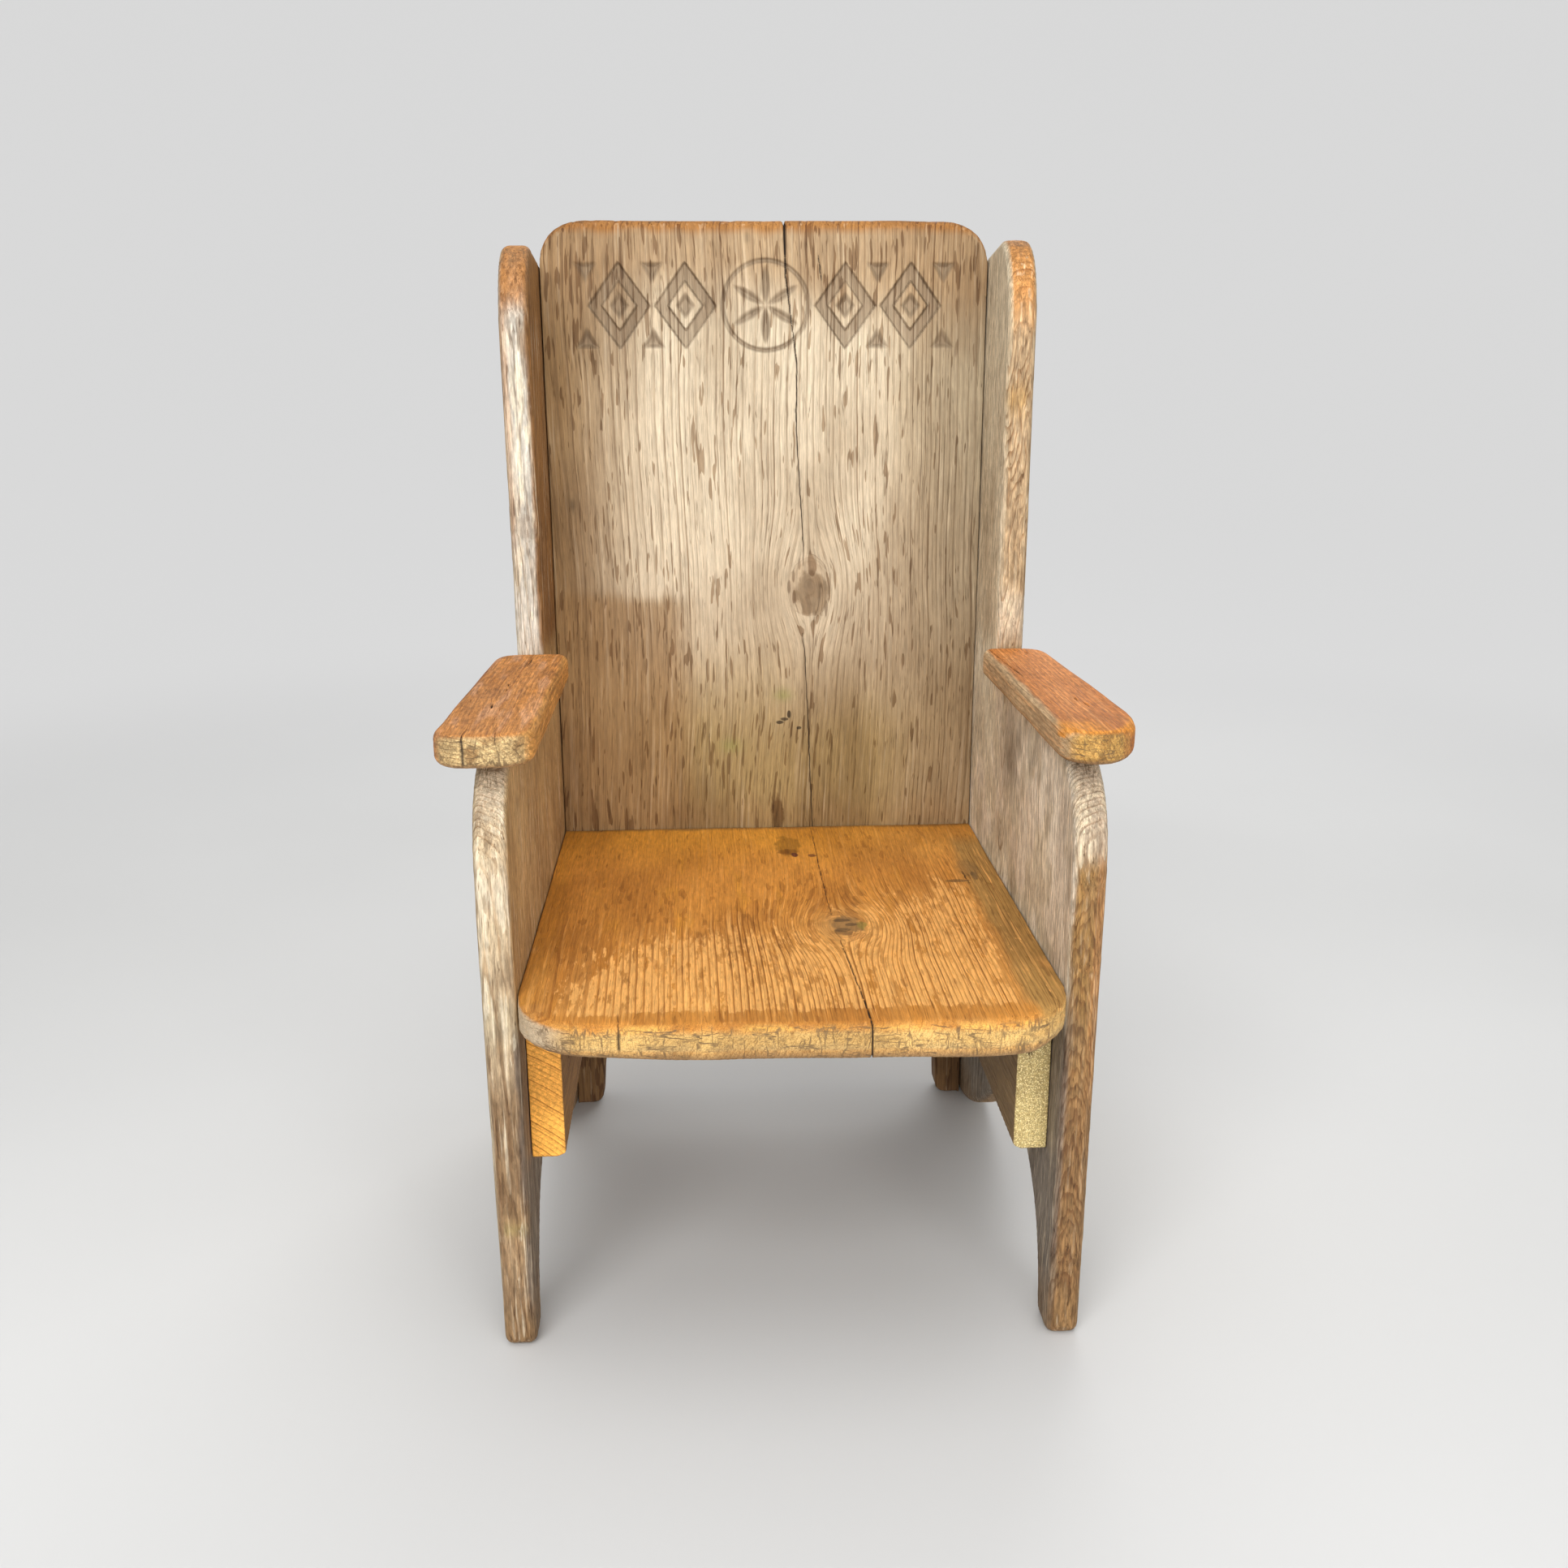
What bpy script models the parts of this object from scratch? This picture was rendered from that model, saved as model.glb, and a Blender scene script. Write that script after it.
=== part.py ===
"""A child's high-backed armchair of plain pine boards, nailed together.

Two shaped side boards are the legs, the sides and the wings in one. A solid back stands between
them, the seat rests on two bearers, and a flat arm lies on the shoulder of each side.

Units are metres, +Z is up and the chair faces -Y. The origin is on the floor, in the middle of
the overall width and depth. "Ahead" is a distance forward of the back's front face.
"""
import math
from collections import namedtuple
from functools import partial

import bmesh
import bpy
from mathutils import Matrix

# Boards
SEAT_WIDTH = 0.330
SIDE_THICKNESS = 0.021
BACK_THICKNESS = 0.021
SEAT_THICKNESS = 0.021
ARM_THICKNESS = 0.020
BEARER_THICKNESS = 0.0215

# Heights above the floor
BACK_HEIGHT = 0.709
LEFT_WING_HEIGHT = 0.689
RIGHT_WING_HEIGHT = 0.693
ARM_HEIGHT = 0.408
SEAT_HEIGHT = 0.2465

# Side boards, seen from the side
LEFT_SIDE_DEPTH = 0.323
RIGHT_SIDE_DEPTH = 0.331
WING_DEPTH = 0.080
WING_ROUND_DEPTH = 0.042
WING_ROUND_HEIGHT = 0.060
WING_FALL = 0.008
WING_HEEL_RADIUS = 0.010
SHOULDER_DEPTH = 0.057
SHOULDER_DROP = 0.064
CROOK_RADIUS = 0.004
FRONT_LEG_DEPTH = 0.035
LEG_ARCH_END = 6
TOE_START = 195
TOE_SETBACK = 0.004
TOE_RADIUS = 0.008
SIDE_ARCH_HEIGHT = 0.099
REAR_FOOT_DEPTH = 0.003
LOBE_DEPTH = 0.115
LOBE_HEIGHT = 0.059
LOBE_TOE_SLOPE = 0.20
LOBE_CREST_SLOPE = 0.75
SIDE_EDGE_RADIUS = 0.006

# Back board
BACK_CORNER_WIDTH = 0.033
BACK_CORNER_HEIGHT = 0.027
BACK_EDGE_RADIUS = 0.006
BACK_FOOT_WIDTH = 0.022
BACK_FOOT_TOE_RADIUS = 0.009
BACK_ARCH_HEIGHT = 0.109
BACK_ARCH_SHOULDER = 0.060

# Seat board
SEAT_OVERHANG = 0.040
SEAT_CORNER_RADIUS = 0.048
SEAT_EDGE_RADIUS = 0.0065

# Arm boards
LEFT_ARM_LENGTH = 0.243
RIGHT_ARM_LENGTH = 0.257
LEFT_ARM_INNER_OVERHANG = 0.017
RIGHT_ARM_INNER_OVERHANG = 0.011
ARM_OUTER_OVERHANG = 0.020
ARM_FRONT_RADIUS = 0.021
RIGHT_ARM_ROUND_WIDTH = 0.030
RIGHT_ARM_ROUND_LENGTH = 0.054
ARM_TAPER = 0.006
ARM_INNER_BACK_RADIUS = 0.009
ARM_OUTER_BACK_RADIUS = 0.018
ARM_EDGE_RADIUS = 0.0055

# Seat bearers
BEARER_HEIGHT = 0.102
BEARER_SETBACK = 0.029
BEARER_CHAMFER = 0.006
BEARER_EDGE_RADIUS = 0.0008

# Nails
NAIL_RADIUS = 0.0014
NAIL_HEAD_RADIUS = 0.0030
NAIL_HEAD_THICKNESS = 0.0012
NAIL_TIP_LENGTH = 0.004
NAIL_SINK = 0.0004
BACK_NAIL_BITE = 0.024
SEAT_NAIL_BITE = 0.022
BEARER_NAIL_BITE = 0.013
ARM_NAIL_BITE = 0.028
BACK_NAIL_LOW = 0.150
BACK_NAIL_TOP_MARGIN = 0.055
SEAT_NAIL_MARGIN = 0.060
BACK_SEAT_NAIL_MARGIN = 0.055
BEARER_NAIL_MARGIN = 0.045
ARM_NAIL_MARGIN = 0.038
BACK_NAIL_COUNT = 5
SEAT_NAIL_COUNT = 3
BEARER_NAIL_COUNT = 3
ARM_NAIL_COUNT = 2

# Fits and mesh fineness
JOINT_GAP = 0.0003
MERGE_DISTANCE = 0.00001
FLAT_ANGLE = math.radians(0.5)
RIM_ANGLE = math.radians(60)
ARC_STEPS = 7
SMALL_ARC_STEPS = 4
CURVE_STEPS = 9
EDGE_SEGMENTS = 3
NAIL_STEPS = 10
CRISP_SHARE = 0.18
BACK_ARCH_SHARE = 0.5

# Places worked out from the sizes
OVERALL_DEPTH = max(LEFT_SIDE_DEPTH, RIGHT_SIDE_DEPTH) + SEAT_OVERHANG + BACK_THICKNESS
BACK_FACE_Y = OVERALL_DEPTH / 2 - BACK_THICKNESS
INNER_X = SEAT_WIDTH / 2
OUTER_X = INNER_X + SIDE_THICKNESS
SIDE_MIDDLE_X = INNER_X + SIDE_THICKNESS / 2
SHELF_HEIGHT = ARM_HEIGHT - ARM_THICKNESS - JOINT_GAP
SEAT_UNDERSIDE = SEAT_HEIGHT - SEAT_THICKNESS
SEAT_MIDDLE_Z = SEAT_HEIGHT - SEAT_THICKNESS / 2
BEARER_TOP = SEAT_UNDERSIDE - JOINT_GAP

# Finish: linear colours, and how rough the surfaces are
WEATHERED_PINE = (0.45, 0.33, 0.20)
WORN_PINE = (0.52, 0.24, 0.07)
ARM_PINE = (0.56, 0.26, 0.09)
NEW_PINE = (0.66, 0.31, 0.08)
SAWN_PINE = (0.48, 0.34, 0.16)
DARK_IRON = (0.06, 0.05, 0.045)
WEATHERED_ROUGHNESS = 0.73
HANDLED_ROUGHNESS = 0.61
IRON_ROUGHNESS = 0.55
IRON_METALLIC = 0.9

# The two sides of the chair, which differ a little
Hand = namedtuple(
    "Hand", "name sign depth wing_height arm_length inner_overhang outer_round bearer_colour",
)
LEFT = Hand(
    "left", -1, LEFT_SIDE_DEPTH, LEFT_WING_HEIGHT, LEFT_ARM_LENGTH, LEFT_ARM_INNER_OVERHANG,
    (ARM_FRONT_RADIUS, ARM_FRONT_RADIUS), NEW_PINE,
)
RIGHT = Hand(
    "right", 1, RIGHT_SIDE_DEPTH, RIGHT_WING_HEIGHT, RIGHT_ARM_LENGTH, RIGHT_ARM_INNER_OVERHANG,
    (RIGHT_ARM_ROUND_WIDTH, RIGHT_ARM_ROUND_LENGTH), SAWN_PINE,
)


def clear_scene():
    """Empties the scene and makes one collection for the parts and one for the cutters."""
    for thing in list(bpy.data.objects):
        bpy.data.objects.remove(thing)
    parts = bpy.data.collections.new("childs_chair")
    cutters = bpy.data.collections.new("cutters")
    for collection in (parts, cutters):
        bpy.context.scene.collection.children.link(collection)
    return parts, cutters


def principled(name, colour, roughness, metallic=0.0):
    """A plain material with the piece's own colour."""
    material = bpy.data.materials.new(name)
    material.use_nodes = True
    shader = material.node_tree.nodes["Principled BSDF"]
    shader.inputs["Base Color"].default_value = (*colour, 1.0)
    shader.inputs["Roughness"].default_value = roughness
    shader.inputs["Metallic"].default_value = metallic
    return material


def arc(centre, radii, start, end, steps=ARC_STEPS):
    """Points of an elliptical arc, angles in degrees."""
    points = []
    for step in range(steps + 1):
        angle = math.radians(start + (end - start) * step / steps)
        points.append((centre[0] + radii[0] * math.cos(angle), centre[1] + radii[1] * math.sin(angle)))
    return points


def sweep(start, start_slope, end, end_slope, steps=CURVE_STEPS):
    """Points of a cubic that leaves the start and reaches the end at the given slopes."""
    reach = (end[0] - start[0]) / 3
    knots = (
        start,
        (start[0] + reach, start[1] + reach * start_slope),
        (end[0] - reach, end[1] - reach * end_slope),
        end,
    )
    points = []
    for step in range(steps + 1):
        t = step / steps
        weights = ((1 - t) ** 3, 3 * t * (1 - t) ** 2, 3 * t * t * (1 - t), t ** 3)
        points.append(tuple(sum(w * knot[axis] for w, knot in zip(weights, knots)) for axis in (0, 1)))
    return points


def without_repeats(points):
    """The outline with neighbouring points that fall together taken once."""
    kept = []
    for point in points:
        if not kept or math.dist(point, kept[-1]) > MERGE_DISTANCE:
            kept.append(point)
    if math.dist(kept[0], kept[-1]) <= MERGE_DISTANCE:
        kept.pop()
    return kept


def side_outline(hand):
    """Side board as (ahead, height): foot, arch, leg, shoulder, shelf for the arm, wing."""
    depth = hand.depth
    leg_back = depth - FRONT_LEG_DEPTH
    toe_front = depth - TOE_SETBACK
    crest = (LOBE_DEPTH + leg_back) / 2
    lobe = (LOBE_DEPTH, LOBE_HEIGHT)
    top = (WING_DEPTH - WING_ROUND_DEPTH, hand.wing_height)
    points = [(-BACK_THICKNESS, 0.0)]
    points += sweep((REAR_FOOT_DEPTH, 0.0), LOBE_TOE_SLOPE, lobe, LOBE_CREST_SLOPE)
    points += sweep(lobe, LOBE_CREST_SLOPE, (crest, SIDE_ARCH_HEIGHT), 0.0)
    points += arc((crest, 0.0), (leg_back - crest, SIDE_ARCH_HEIGHT), 90, LEG_ARCH_END, CURVE_STEPS)
    toe = (TOE_RADIUS,) * 2
    points += arc((leg_back + TOE_RADIUS, TOE_RADIUS), toe, TOE_START, 270, SMALL_ARC_STEPS)
    points += arc((toe_front - TOE_RADIUS, TOE_RADIUS), toe, 270, 360, SMALL_ARC_STEPS)
    points.append((depth, BEARER_TOP))
    shoulder = (depth - SHOULDER_DEPTH, SHELF_HEIGHT - SHOULDER_DROP)
    points += arc(shoulder, (SHOULDER_DEPTH, SHOULDER_DROP), 0, 90, CURVE_STEPS)
    crook = (WING_DEPTH + CROOK_RADIUS, SHELF_HEIGHT + CROOK_RADIUS)
    points += arc(crook, (CROOK_RADIUS,) * 2, 270, 180, SMALL_ARC_STEPS)
    points += arc((top[0], top[1] - WING_ROUND_HEIGHT), (WING_ROUND_DEPTH, WING_ROUND_HEIGHT), 0, 90)
    heel = (WING_HEEL_RADIUS - BACK_THICKNESS, hand.wing_height - WING_FALL - WING_HEEL_RADIUS)
    points += arc(heel, (WING_HEEL_RADIUS,) * 2, 90, 180, SMALL_ARC_STEPS)
    return without_repeats(points)


def back_outline():
    """Back board as (across, height), arched at the floor and round at the top corners."""
    half = INNER_X - JOINT_GAP
    foot_edge = half - BACK_FOOT_WIDTH
    right_side = [(half, 0.0)]
    right_side += arc(
        (half - BACK_CORNER_WIDTH, BACK_HEIGHT - BACK_CORNER_HEIGHT),
        (BACK_CORNER_WIDTH, BACK_CORNER_HEIGHT), 0, 90,
    )
    toe_centre = (foot_edge + BACK_FOOT_TOE_RADIUS, BACK_FOOT_TOE_RADIUS)
    arch = arc(toe_centre, (BACK_FOOT_TOE_RADIUS,) * 2, 270, 180, SMALL_ARC_STEPS)
    arch += arc(
        (foot_edge - BACK_ARCH_SHOULDER, BACK_FOOT_TOE_RADIUS),
        (BACK_ARCH_SHOULDER, BACK_ARCH_HEIGHT - BACK_FOOT_TOE_RADIUS), 0, 90,
    )
    right = list(reversed(arch)) + right_side
    left = [(-x, z) for x, z in reversed(right)]
    return without_repeats(right + left)


def seat_outline():
    """Seat board as (across, -ahead), square at the back and round at the front corners."""
    half = INNER_X - JOINT_GAP
    radius = SEAT_CORNER_RADIUS
    left_front = LEFT.depth + SEAT_OVERHANG
    right_front = RIGHT.depth + SEAT_OVERHANG
    points = [(half, -JOINT_GAP), (-half, -JOINT_GAP)]
    points += arc((radius - half, radius - left_front), (radius, radius), 180, 270)
    points += arc((half - radius, radius - right_front), (radius, radius), 270, 360)
    return without_repeats(points)


def arm_outline(hand):
    """Arm board as (across from the side's middle, -ahead), its back end against the wing."""
    inner = -SIDE_THICKNESS / 2 - hand.inner_overhang
    outer = SIDE_THICKNESS / 2 + ARM_OUTER_OVERHANG
    back = -WING_DEPTH - JOINT_GAP
    front = back - hand.arm_length
    outer_turn = (outer - ARM_TAPER - ARM_OUTER_BACK_RADIUS, back - ARM_OUTER_BACK_RADIUS)
    inner_turn = (inner + ARM_INNER_BACK_RADIUS, back - ARM_INNER_BACK_RADIUS)
    round_front = (ARM_FRONT_RADIUS,) * 2
    points = arc(outer_turn, (ARM_OUTER_BACK_RADIUS,) * 2, 0, 90)
    points += arc(inner_turn, (ARM_INNER_BACK_RADIUS,) * 2, 90, 180, SMALL_ARC_STEPS)
    points += arc((inner + ARM_FRONT_RADIUS, front + ARM_FRONT_RADIUS), round_front, 180, 270)
    outer_front = (outer - hand.outer_round[0], front + hand.outer_round[1])
    points += arc(outer_front, hand.outer_round, 270, 360)
    return [(hand.sign * x, y) for x, y in without_repeats(points)]


def bearer_outline():
    """Seat bearer's end as (inward from the side, height), its lower inner corner taken off."""
    near = JOINT_GAP
    far = JOINT_GAP + BEARER_THICKNESS
    bottom = BEARER_TOP - BEARER_HEIGHT
    return [
        (near, bottom),
        (far - BEARER_CHAMFER, bottom),
        (far, bottom + BEARER_CHAMFER / 2),
        (far, BEARER_TOP),
        (near, BEARER_TOP),
    ]


def board(name, outline, thickness, placing, collection, material):
    """A board of even thickness cut to an outline, set in place by a matrix."""
    curve = bpy.data.curves.new(name + "_outline", "CURVE")
    curve.dimensions = "2D"
    curve.fill_mode = "BOTH"
    curve.extrude = thickness / 2
    spline = curve.splines.new("POLY")
    spline.points.add(len(outline) - 1)
    for point, (x, y) in zip(spline.points, outline):
        point.co = (x, y, 0.0, 1.0)
    spline.use_cyclic_u = True
    guide = bpy.data.objects.new(name + "_outline", curve)
    collection.objects.link(guide)
    graph = bpy.context.evaluated_depsgraph_get()
    mesh = bpy.data.meshes.new_from_object(guide.evaluated_get(graph))
    bpy.data.objects.remove(guide)
    mesh.name = name
    shape = bmesh.new()
    shape.from_mesh(mesh)
    bmesh.ops.remove_doubles(shape, verts=shape.verts, dist=MERGE_DISTANCE)
    bmesh.ops.dissolve_limit(shape, angle_limit=FLAT_ANGLE, verts=shape.verts, edges=shape.edges)
    bmesh.ops.recalc_face_normals(shape, faces=shape.faces)
    shape.to_mesh(mesh)
    shape.free()
    mesh.materials.clear()
    mesh.materials.append(material)
    piece = bpy.data.objects.new(name, mesh)
    piece.matrix_world = placing
    collection.objects.link(piece)
    return piece


def round_rim(piece, radius, share):
    """Rounds the board's two rims; share gives the part of the radius at a point of the outline."""
    shape = bmesh.new()
    shape.from_mesh(piece.data)
    weight = shape.edges.layers.float.new("bevel_weight_edge")
    for edge in shape.edges:
        first, second = (vert.co for vert in edge.verts)
        level = abs(first.z - second.z) < MERGE_DISTANCE
        if level and edge.calc_face_angle(0.0) > RIM_ANGLE:
            middle = (first + second) / 2
            edge[weight] = share(middle.x, middle.y)
    shape.to_mesh(piece.data)
    shape.free()
    rounding = piece.modifiers.new("Rounded edges", "BEVEL")
    rounding.limit_method = "WEIGHT"
    rounding.width = radius
    rounding.segments = EDGE_SEGMENTS
    rounding.use_clamp_overlap = False
    rounding.harden_normals = False


def everywhere(_x, _y):
    """Every rim edge fully rounded."""
    return 1.0


def side_share(ahead, _height):
    """The sides are round all over but for their rear edges, which stay crisp."""
    return CRISP_SHARE if ahead < MERGE_DISTANCE - BACK_THICKNESS else 1.0


def back_share(across, height):
    """The back is round along its top and its arch, and crisp where it meets the sides."""
    half = INNER_X - JOINT_GAP
    if abs(across) > half - MERGE_DISTANCE:
        return CRISP_SHARE
    corner_base = BACK_HEIGHT - BACK_CORNER_HEIGHT
    if height > corner_base:
        climb = (height - corner_base) / BACK_CORNER_HEIGHT
        return CRISP_SHARE + (1.0 - CRISP_SHARE) * math.sqrt(climb)
    return BACK_ARCH_SHARE


def seat_share(across, back):
    """The seat is round along its front and the corners, and crisp at the sides and the back."""
    hand = RIGHT if across > 0 else LEFT
    straight = hand.depth + SEAT_OVERHANG - SEAT_CORNER_RADIUS
    if -back < straight:
        return CRISP_SHARE
    turn = (-back - straight) / SEAT_CORNER_RADIUS
    return CRISP_SHARE + (1.0 - CRISP_SHARE) * math.sqrt(min(turn, 1.0))


def spread(low, high, count):
    """Even places from low to high."""
    return [low + (high - low) * index / (count - 1) for index in range(count)]


def nail_mesh(name, length, clearance, collection):
    """A nail turned about Z, head uppermost at the origin, with a clearance all round."""
    head = NAIL_HEAD_RADIUS + clearance
    shank = NAIL_RADIUS + clearance
    seat = -NAIL_HEAD_THICKNESS - clearance
    # a hole, which has a clearance, also opens through the face that the head is sunk under
    top = 2 * NAIL_SINK if clearance else 0.0
    profile = [
        (0.0, top),
        (head, top),
        (head, seat),
        (shank, seat),
        (shank, NAIL_TIP_LENGTH - length),
        (0.0, -length - clearance),
    ]
    mesh = bpy.data.meshes.new(name)
    mesh.from_pydata([(x, 0.0, z) for x, z in profile], [(i, i + 1) for i in range(len(profile) - 1)], [])
    blank = bpy.data.objects.new(name, mesh)
    collection.objects.link(blank)
    turn = blank.modifiers.new("Turned", "SCREW")
    turn.steps = NAIL_STEPS
    turn.render_steps = NAIL_STEPS
    turn.use_merge_vertices = True
    turn.merge_threshold = MERGE_DISTANCE
    graph = bpy.context.evaluated_depsgraph_get()
    turned = bpy.data.meshes.new_from_object(blank.evaluated_get(graph))
    bpy.data.objects.remove(blank)
    return turned


def hole_group(name, length, places, collection):
    """The holes of several nails in one cutter; a place is a matrix with +Z out of the head."""
    single = nail_mesh(name + "_single", length, JOINT_GAP, collection)
    shape = bmesh.new()
    for place in places:
        copy = single.copy()
        copy.transform(place)
        shape.from_mesh(copy)
    bmesh.ops.recalc_face_normals(shape, faces=shape.faces)
    mesh = bpy.data.meshes.new(name)
    shape.to_mesh(mesh)
    shape.free()
    holes = bpy.data.objects.new(name, mesh)
    holes.hide_render = True
    holes.display_type = "WIRE"
    collection.objects.link(holes)
    return holes


def drive_nails(parts, cutters, material, name, length, heads, turning, through):
    """Drives nails through boards: heads are points on the outer face, turning aims +Z out of it."""
    sink = Matrix.Translation((0.0, 0.0, -NAIL_SINK))
    places = [Matrix.Translation(head) @ turning @ sink for head in heads]
    shape = nail_mesh(name, length, 0.0, parts)
    shape.materials.append(material)
    shape.shade_smooth()
    shape.set_sharp_from_angle(angle=RIM_ANGLE)
    for number, place in enumerate(places, 1):
        nail = bpy.data.objects.new(f"{name}_{number}", shape)
        nail.matrix_world = place
        parts.objects.link(nail)
    holes = hole_group(name + "_holes", length, places, cutters)
    for piece in through:
        cut = piece.modifiers.new(name, "BOOLEAN")
        cut.operation = "DIFFERENCE"
        cut.solver = "EXACT"
        cut.object = holes


def side_placing(hand):
    """Outline (ahead, height) to the side board of one hand."""
    turn = Matrix(((0, 0, -1, 0), (-1, 0, 0, 0), (0, 1, 0, 0), (0, 0, 0, 1)))
    return Matrix.Translation((hand.sign * SIDE_MIDDLE_X, BACK_FACE_Y, 0.0)) @ turn


def flat_placing(x, top, thickness):
    """Outline (across, -ahead) to a level board with its upper face at the given height."""
    return Matrix.Translation((x, BACK_FACE_Y, top - thickness / 2))


def bearer_length(hand):
    """From the back's face to a setback behind the side's front edge."""
    return hand.depth - BEARER_SETBACK - JOINT_GAP


def bearer_placing(hand):
    """Outline (inward, height) to a bearer against the inner face of one side."""
    middle = BACK_FACE_Y - JOINT_GAP - bearer_length(hand) / 2
    turn = Matrix(((-hand.sign, 0, 0, 0), (0, 0, hand.sign, 0), (0, 1, 0, 0), (0, 0, 0, 1)))
    return Matrix.Translation((hand.sign * INNER_X, middle, 0.0)) @ turn


def build_back(parts):
    """The back, upright between the sides."""
    wood = principled("back_panel", WEATHERED_PINE, WEATHERED_ROUGHNESS)
    middle = Matrix.Translation((0.0, BACK_FACE_Y + BACK_THICKNESS / 2, 0.0))
    upright = Matrix.Rotation(math.radians(90), 4, "X")
    back = board("back_panel", back_outline(), BACK_THICKNESS, middle @ upright, parts, wood)
    round_rim(back, BACK_EDGE_RADIUS, back_share)
    return back


def build_seat(parts):
    """The seat, on its bearers and against the back."""
    wood = principled("seat_board", WORN_PINE, HANDLED_ROUGHNESS)
    place = flat_placing(0.0, SEAT_HEIGHT, SEAT_THICKNESS)
    seat = board("seat_board", seat_outline(), SEAT_THICKNESS, place, parts, wood)
    round_rim(seat, SEAT_EDGE_RADIUS, seat_share)
    return seat


def build_side(hand, parts):
    """One side board: leg, side and wing in one."""
    name = hand.name + "_side_panel"
    wood = principled(name, WEATHERED_PINE, WEATHERED_ROUGHNESS)
    side = board(name, side_outline(hand), SIDE_THICKNESS, side_placing(hand), parts, wood)
    round_rim(side, SIDE_EDGE_RADIUS, side_share)
    return side


def build_arm(hand, parts):
    """One arm, flat on the shelf of its side."""
    name = hand.name + "_armrest"
    wood = principled(name, ARM_PINE, HANDLED_ROUGHNESS)
    place = flat_placing(hand.sign * SIDE_MIDDLE_X, ARM_HEIGHT, ARM_THICKNESS)
    arm = board(name, arm_outline(hand), ARM_THICKNESS, place, parts, wood)
    round_rim(arm, ARM_EDGE_RADIUS, everywhere)
    return arm


def build_bearer(hand, parts):
    """One seat bearer, on edge under the seat."""
    name = hand.name + "_seat_bearer"
    wood = principled(name, hand.bearer_colour, WEATHERED_ROUGHNESS)
    bearer = board(name, bearer_outline(), bearer_length(hand), bearer_placing(hand), parts, wood)
    round_rim(bearer, BEARER_EDGE_RADIUS, everywhere)
    return bearer


def nail_side(hand, side, back, seat, bearer, arm, drive):
    """The nails of one side: into the back, the seat, the bearer and the arm."""
    outward = Matrix.Rotation(math.radians(90 * hand.sign), 4, "Y")
    inward = Matrix.Rotation(math.radians(-90 * hand.sign), 4, "Y")
    outer_face = hand.sign * OUTER_X

    back_middle = BACK_FACE_Y + BACK_THICKNESS / 2
    highest = min(hand.wing_height, BACK_HEIGHT) - BACK_NAIL_TOP_MARGIN
    heights = spread(BACK_NAIL_LOW, highest, BACK_NAIL_COUNT)
    heads = [(outer_face, back_middle, height) for height in heights]
    length = SIDE_THICKNESS + JOINT_GAP + BACK_NAIL_BITE
    drive(hand.name + "_back_nail", length, heads, outward, (side, back))

    places = spread(SEAT_NAIL_MARGIN, hand.depth - SEAT_NAIL_MARGIN, SEAT_NAIL_COUNT)
    heads = [(outer_face, BACK_FACE_Y - ahead, SEAT_MIDDLE_Z) for ahead in places]
    length = SIDE_THICKNESS + JOINT_GAP + SEAT_NAIL_BITE
    drive(hand.name + "_seat_nail", length, heads, outward, (side, seat))

    inner_face = hand.sign * (INNER_X - JOINT_GAP - BEARER_THICKNESS)
    bearer_middle = BEARER_TOP - BEARER_HEIGHT / 2
    places = spread(BEARER_NAIL_MARGIN, bearer_length(hand) - BEARER_NAIL_MARGIN, BEARER_NAIL_COUNT)
    heads = [(inner_face, BACK_FACE_Y - ahead, bearer_middle) for ahead in places]
    length = BEARER_THICKNESS + JOINT_GAP + BEARER_NAIL_BITE
    drive(hand.name + "_bearer_nail", length, heads, inward, (bearer, side))

    shelf_end = hand.depth - SHOULDER_DEPTH
    places = spread(WING_DEPTH + ARM_NAIL_MARGIN, shelf_end - ARM_NAIL_MARGIN, ARM_NAIL_COUNT)
    heads = [(hand.sign * SIDE_MIDDLE_X, BACK_FACE_Y - ahead, ARM_HEIGHT) for ahead in places]
    length = ARM_THICKNESS + JOINT_GAP + ARM_NAIL_BITE
    drive(hand.name + "_arm_nail", length, heads, Matrix.Identity(4), (arm, side))


def nail_back_to_seat(back, seat, drive):
    """The nails through the back into the rear edge of the seat."""
    reach = INNER_X - BACK_SEAT_NAIL_MARGIN
    rear = BACK_FACE_Y + BACK_THICKNESS
    heads = [(x, rear, SEAT_MIDDLE_Z) for x in spread(-reach, reach, SEAT_NAIL_COUNT)]
    rearward = Matrix.Rotation(math.radians(-90), 4, "X")
    length = BACK_THICKNESS + JOINT_GAP + SEAT_NAIL_BITE
    drive("back_seat_nail", length, heads, rearward, (back, seat))


def main():
    parts, cutters = clear_scene()
    iron = principled("nail_iron", DARK_IRON, IRON_ROUGHNESS, IRON_METALLIC)
    drive = partial(drive_nails, parts, cutters, iron)
    back = build_back(parts)
    seat = build_seat(parts)
    for hand in (LEFT, RIGHT):
        side = build_side(hand, parts)
        arm = build_arm(hand, parts)
        bearer = build_bearer(hand, parts)
        nail_side(hand, side, back, seat, bearer, arm, drive)
    nail_back_to_seat(back, seat, drive)


main()
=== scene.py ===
"""The looks of a child's high-backed armchair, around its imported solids.

Each board is remade as a fine mesh inside the outline of its own solid. Worn round edges, raised
grain, cracks, dents, nail pits and carving are real shapes there, and the finish is painted by
nodes that follow the grain of each board.

Board space is in millimetres: across the grain, along the grain, and out of the shown face.
"""

import math
from collections import namedtuple
from itertools import product
from types import SimpleNamespace

import bmesh
import bpy
import numpy as np
from mathutils import Matrix, Vector
from mathutils.geometry import delaunay_2d_cdt
from mathutils.kdtree import KDTree


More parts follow.
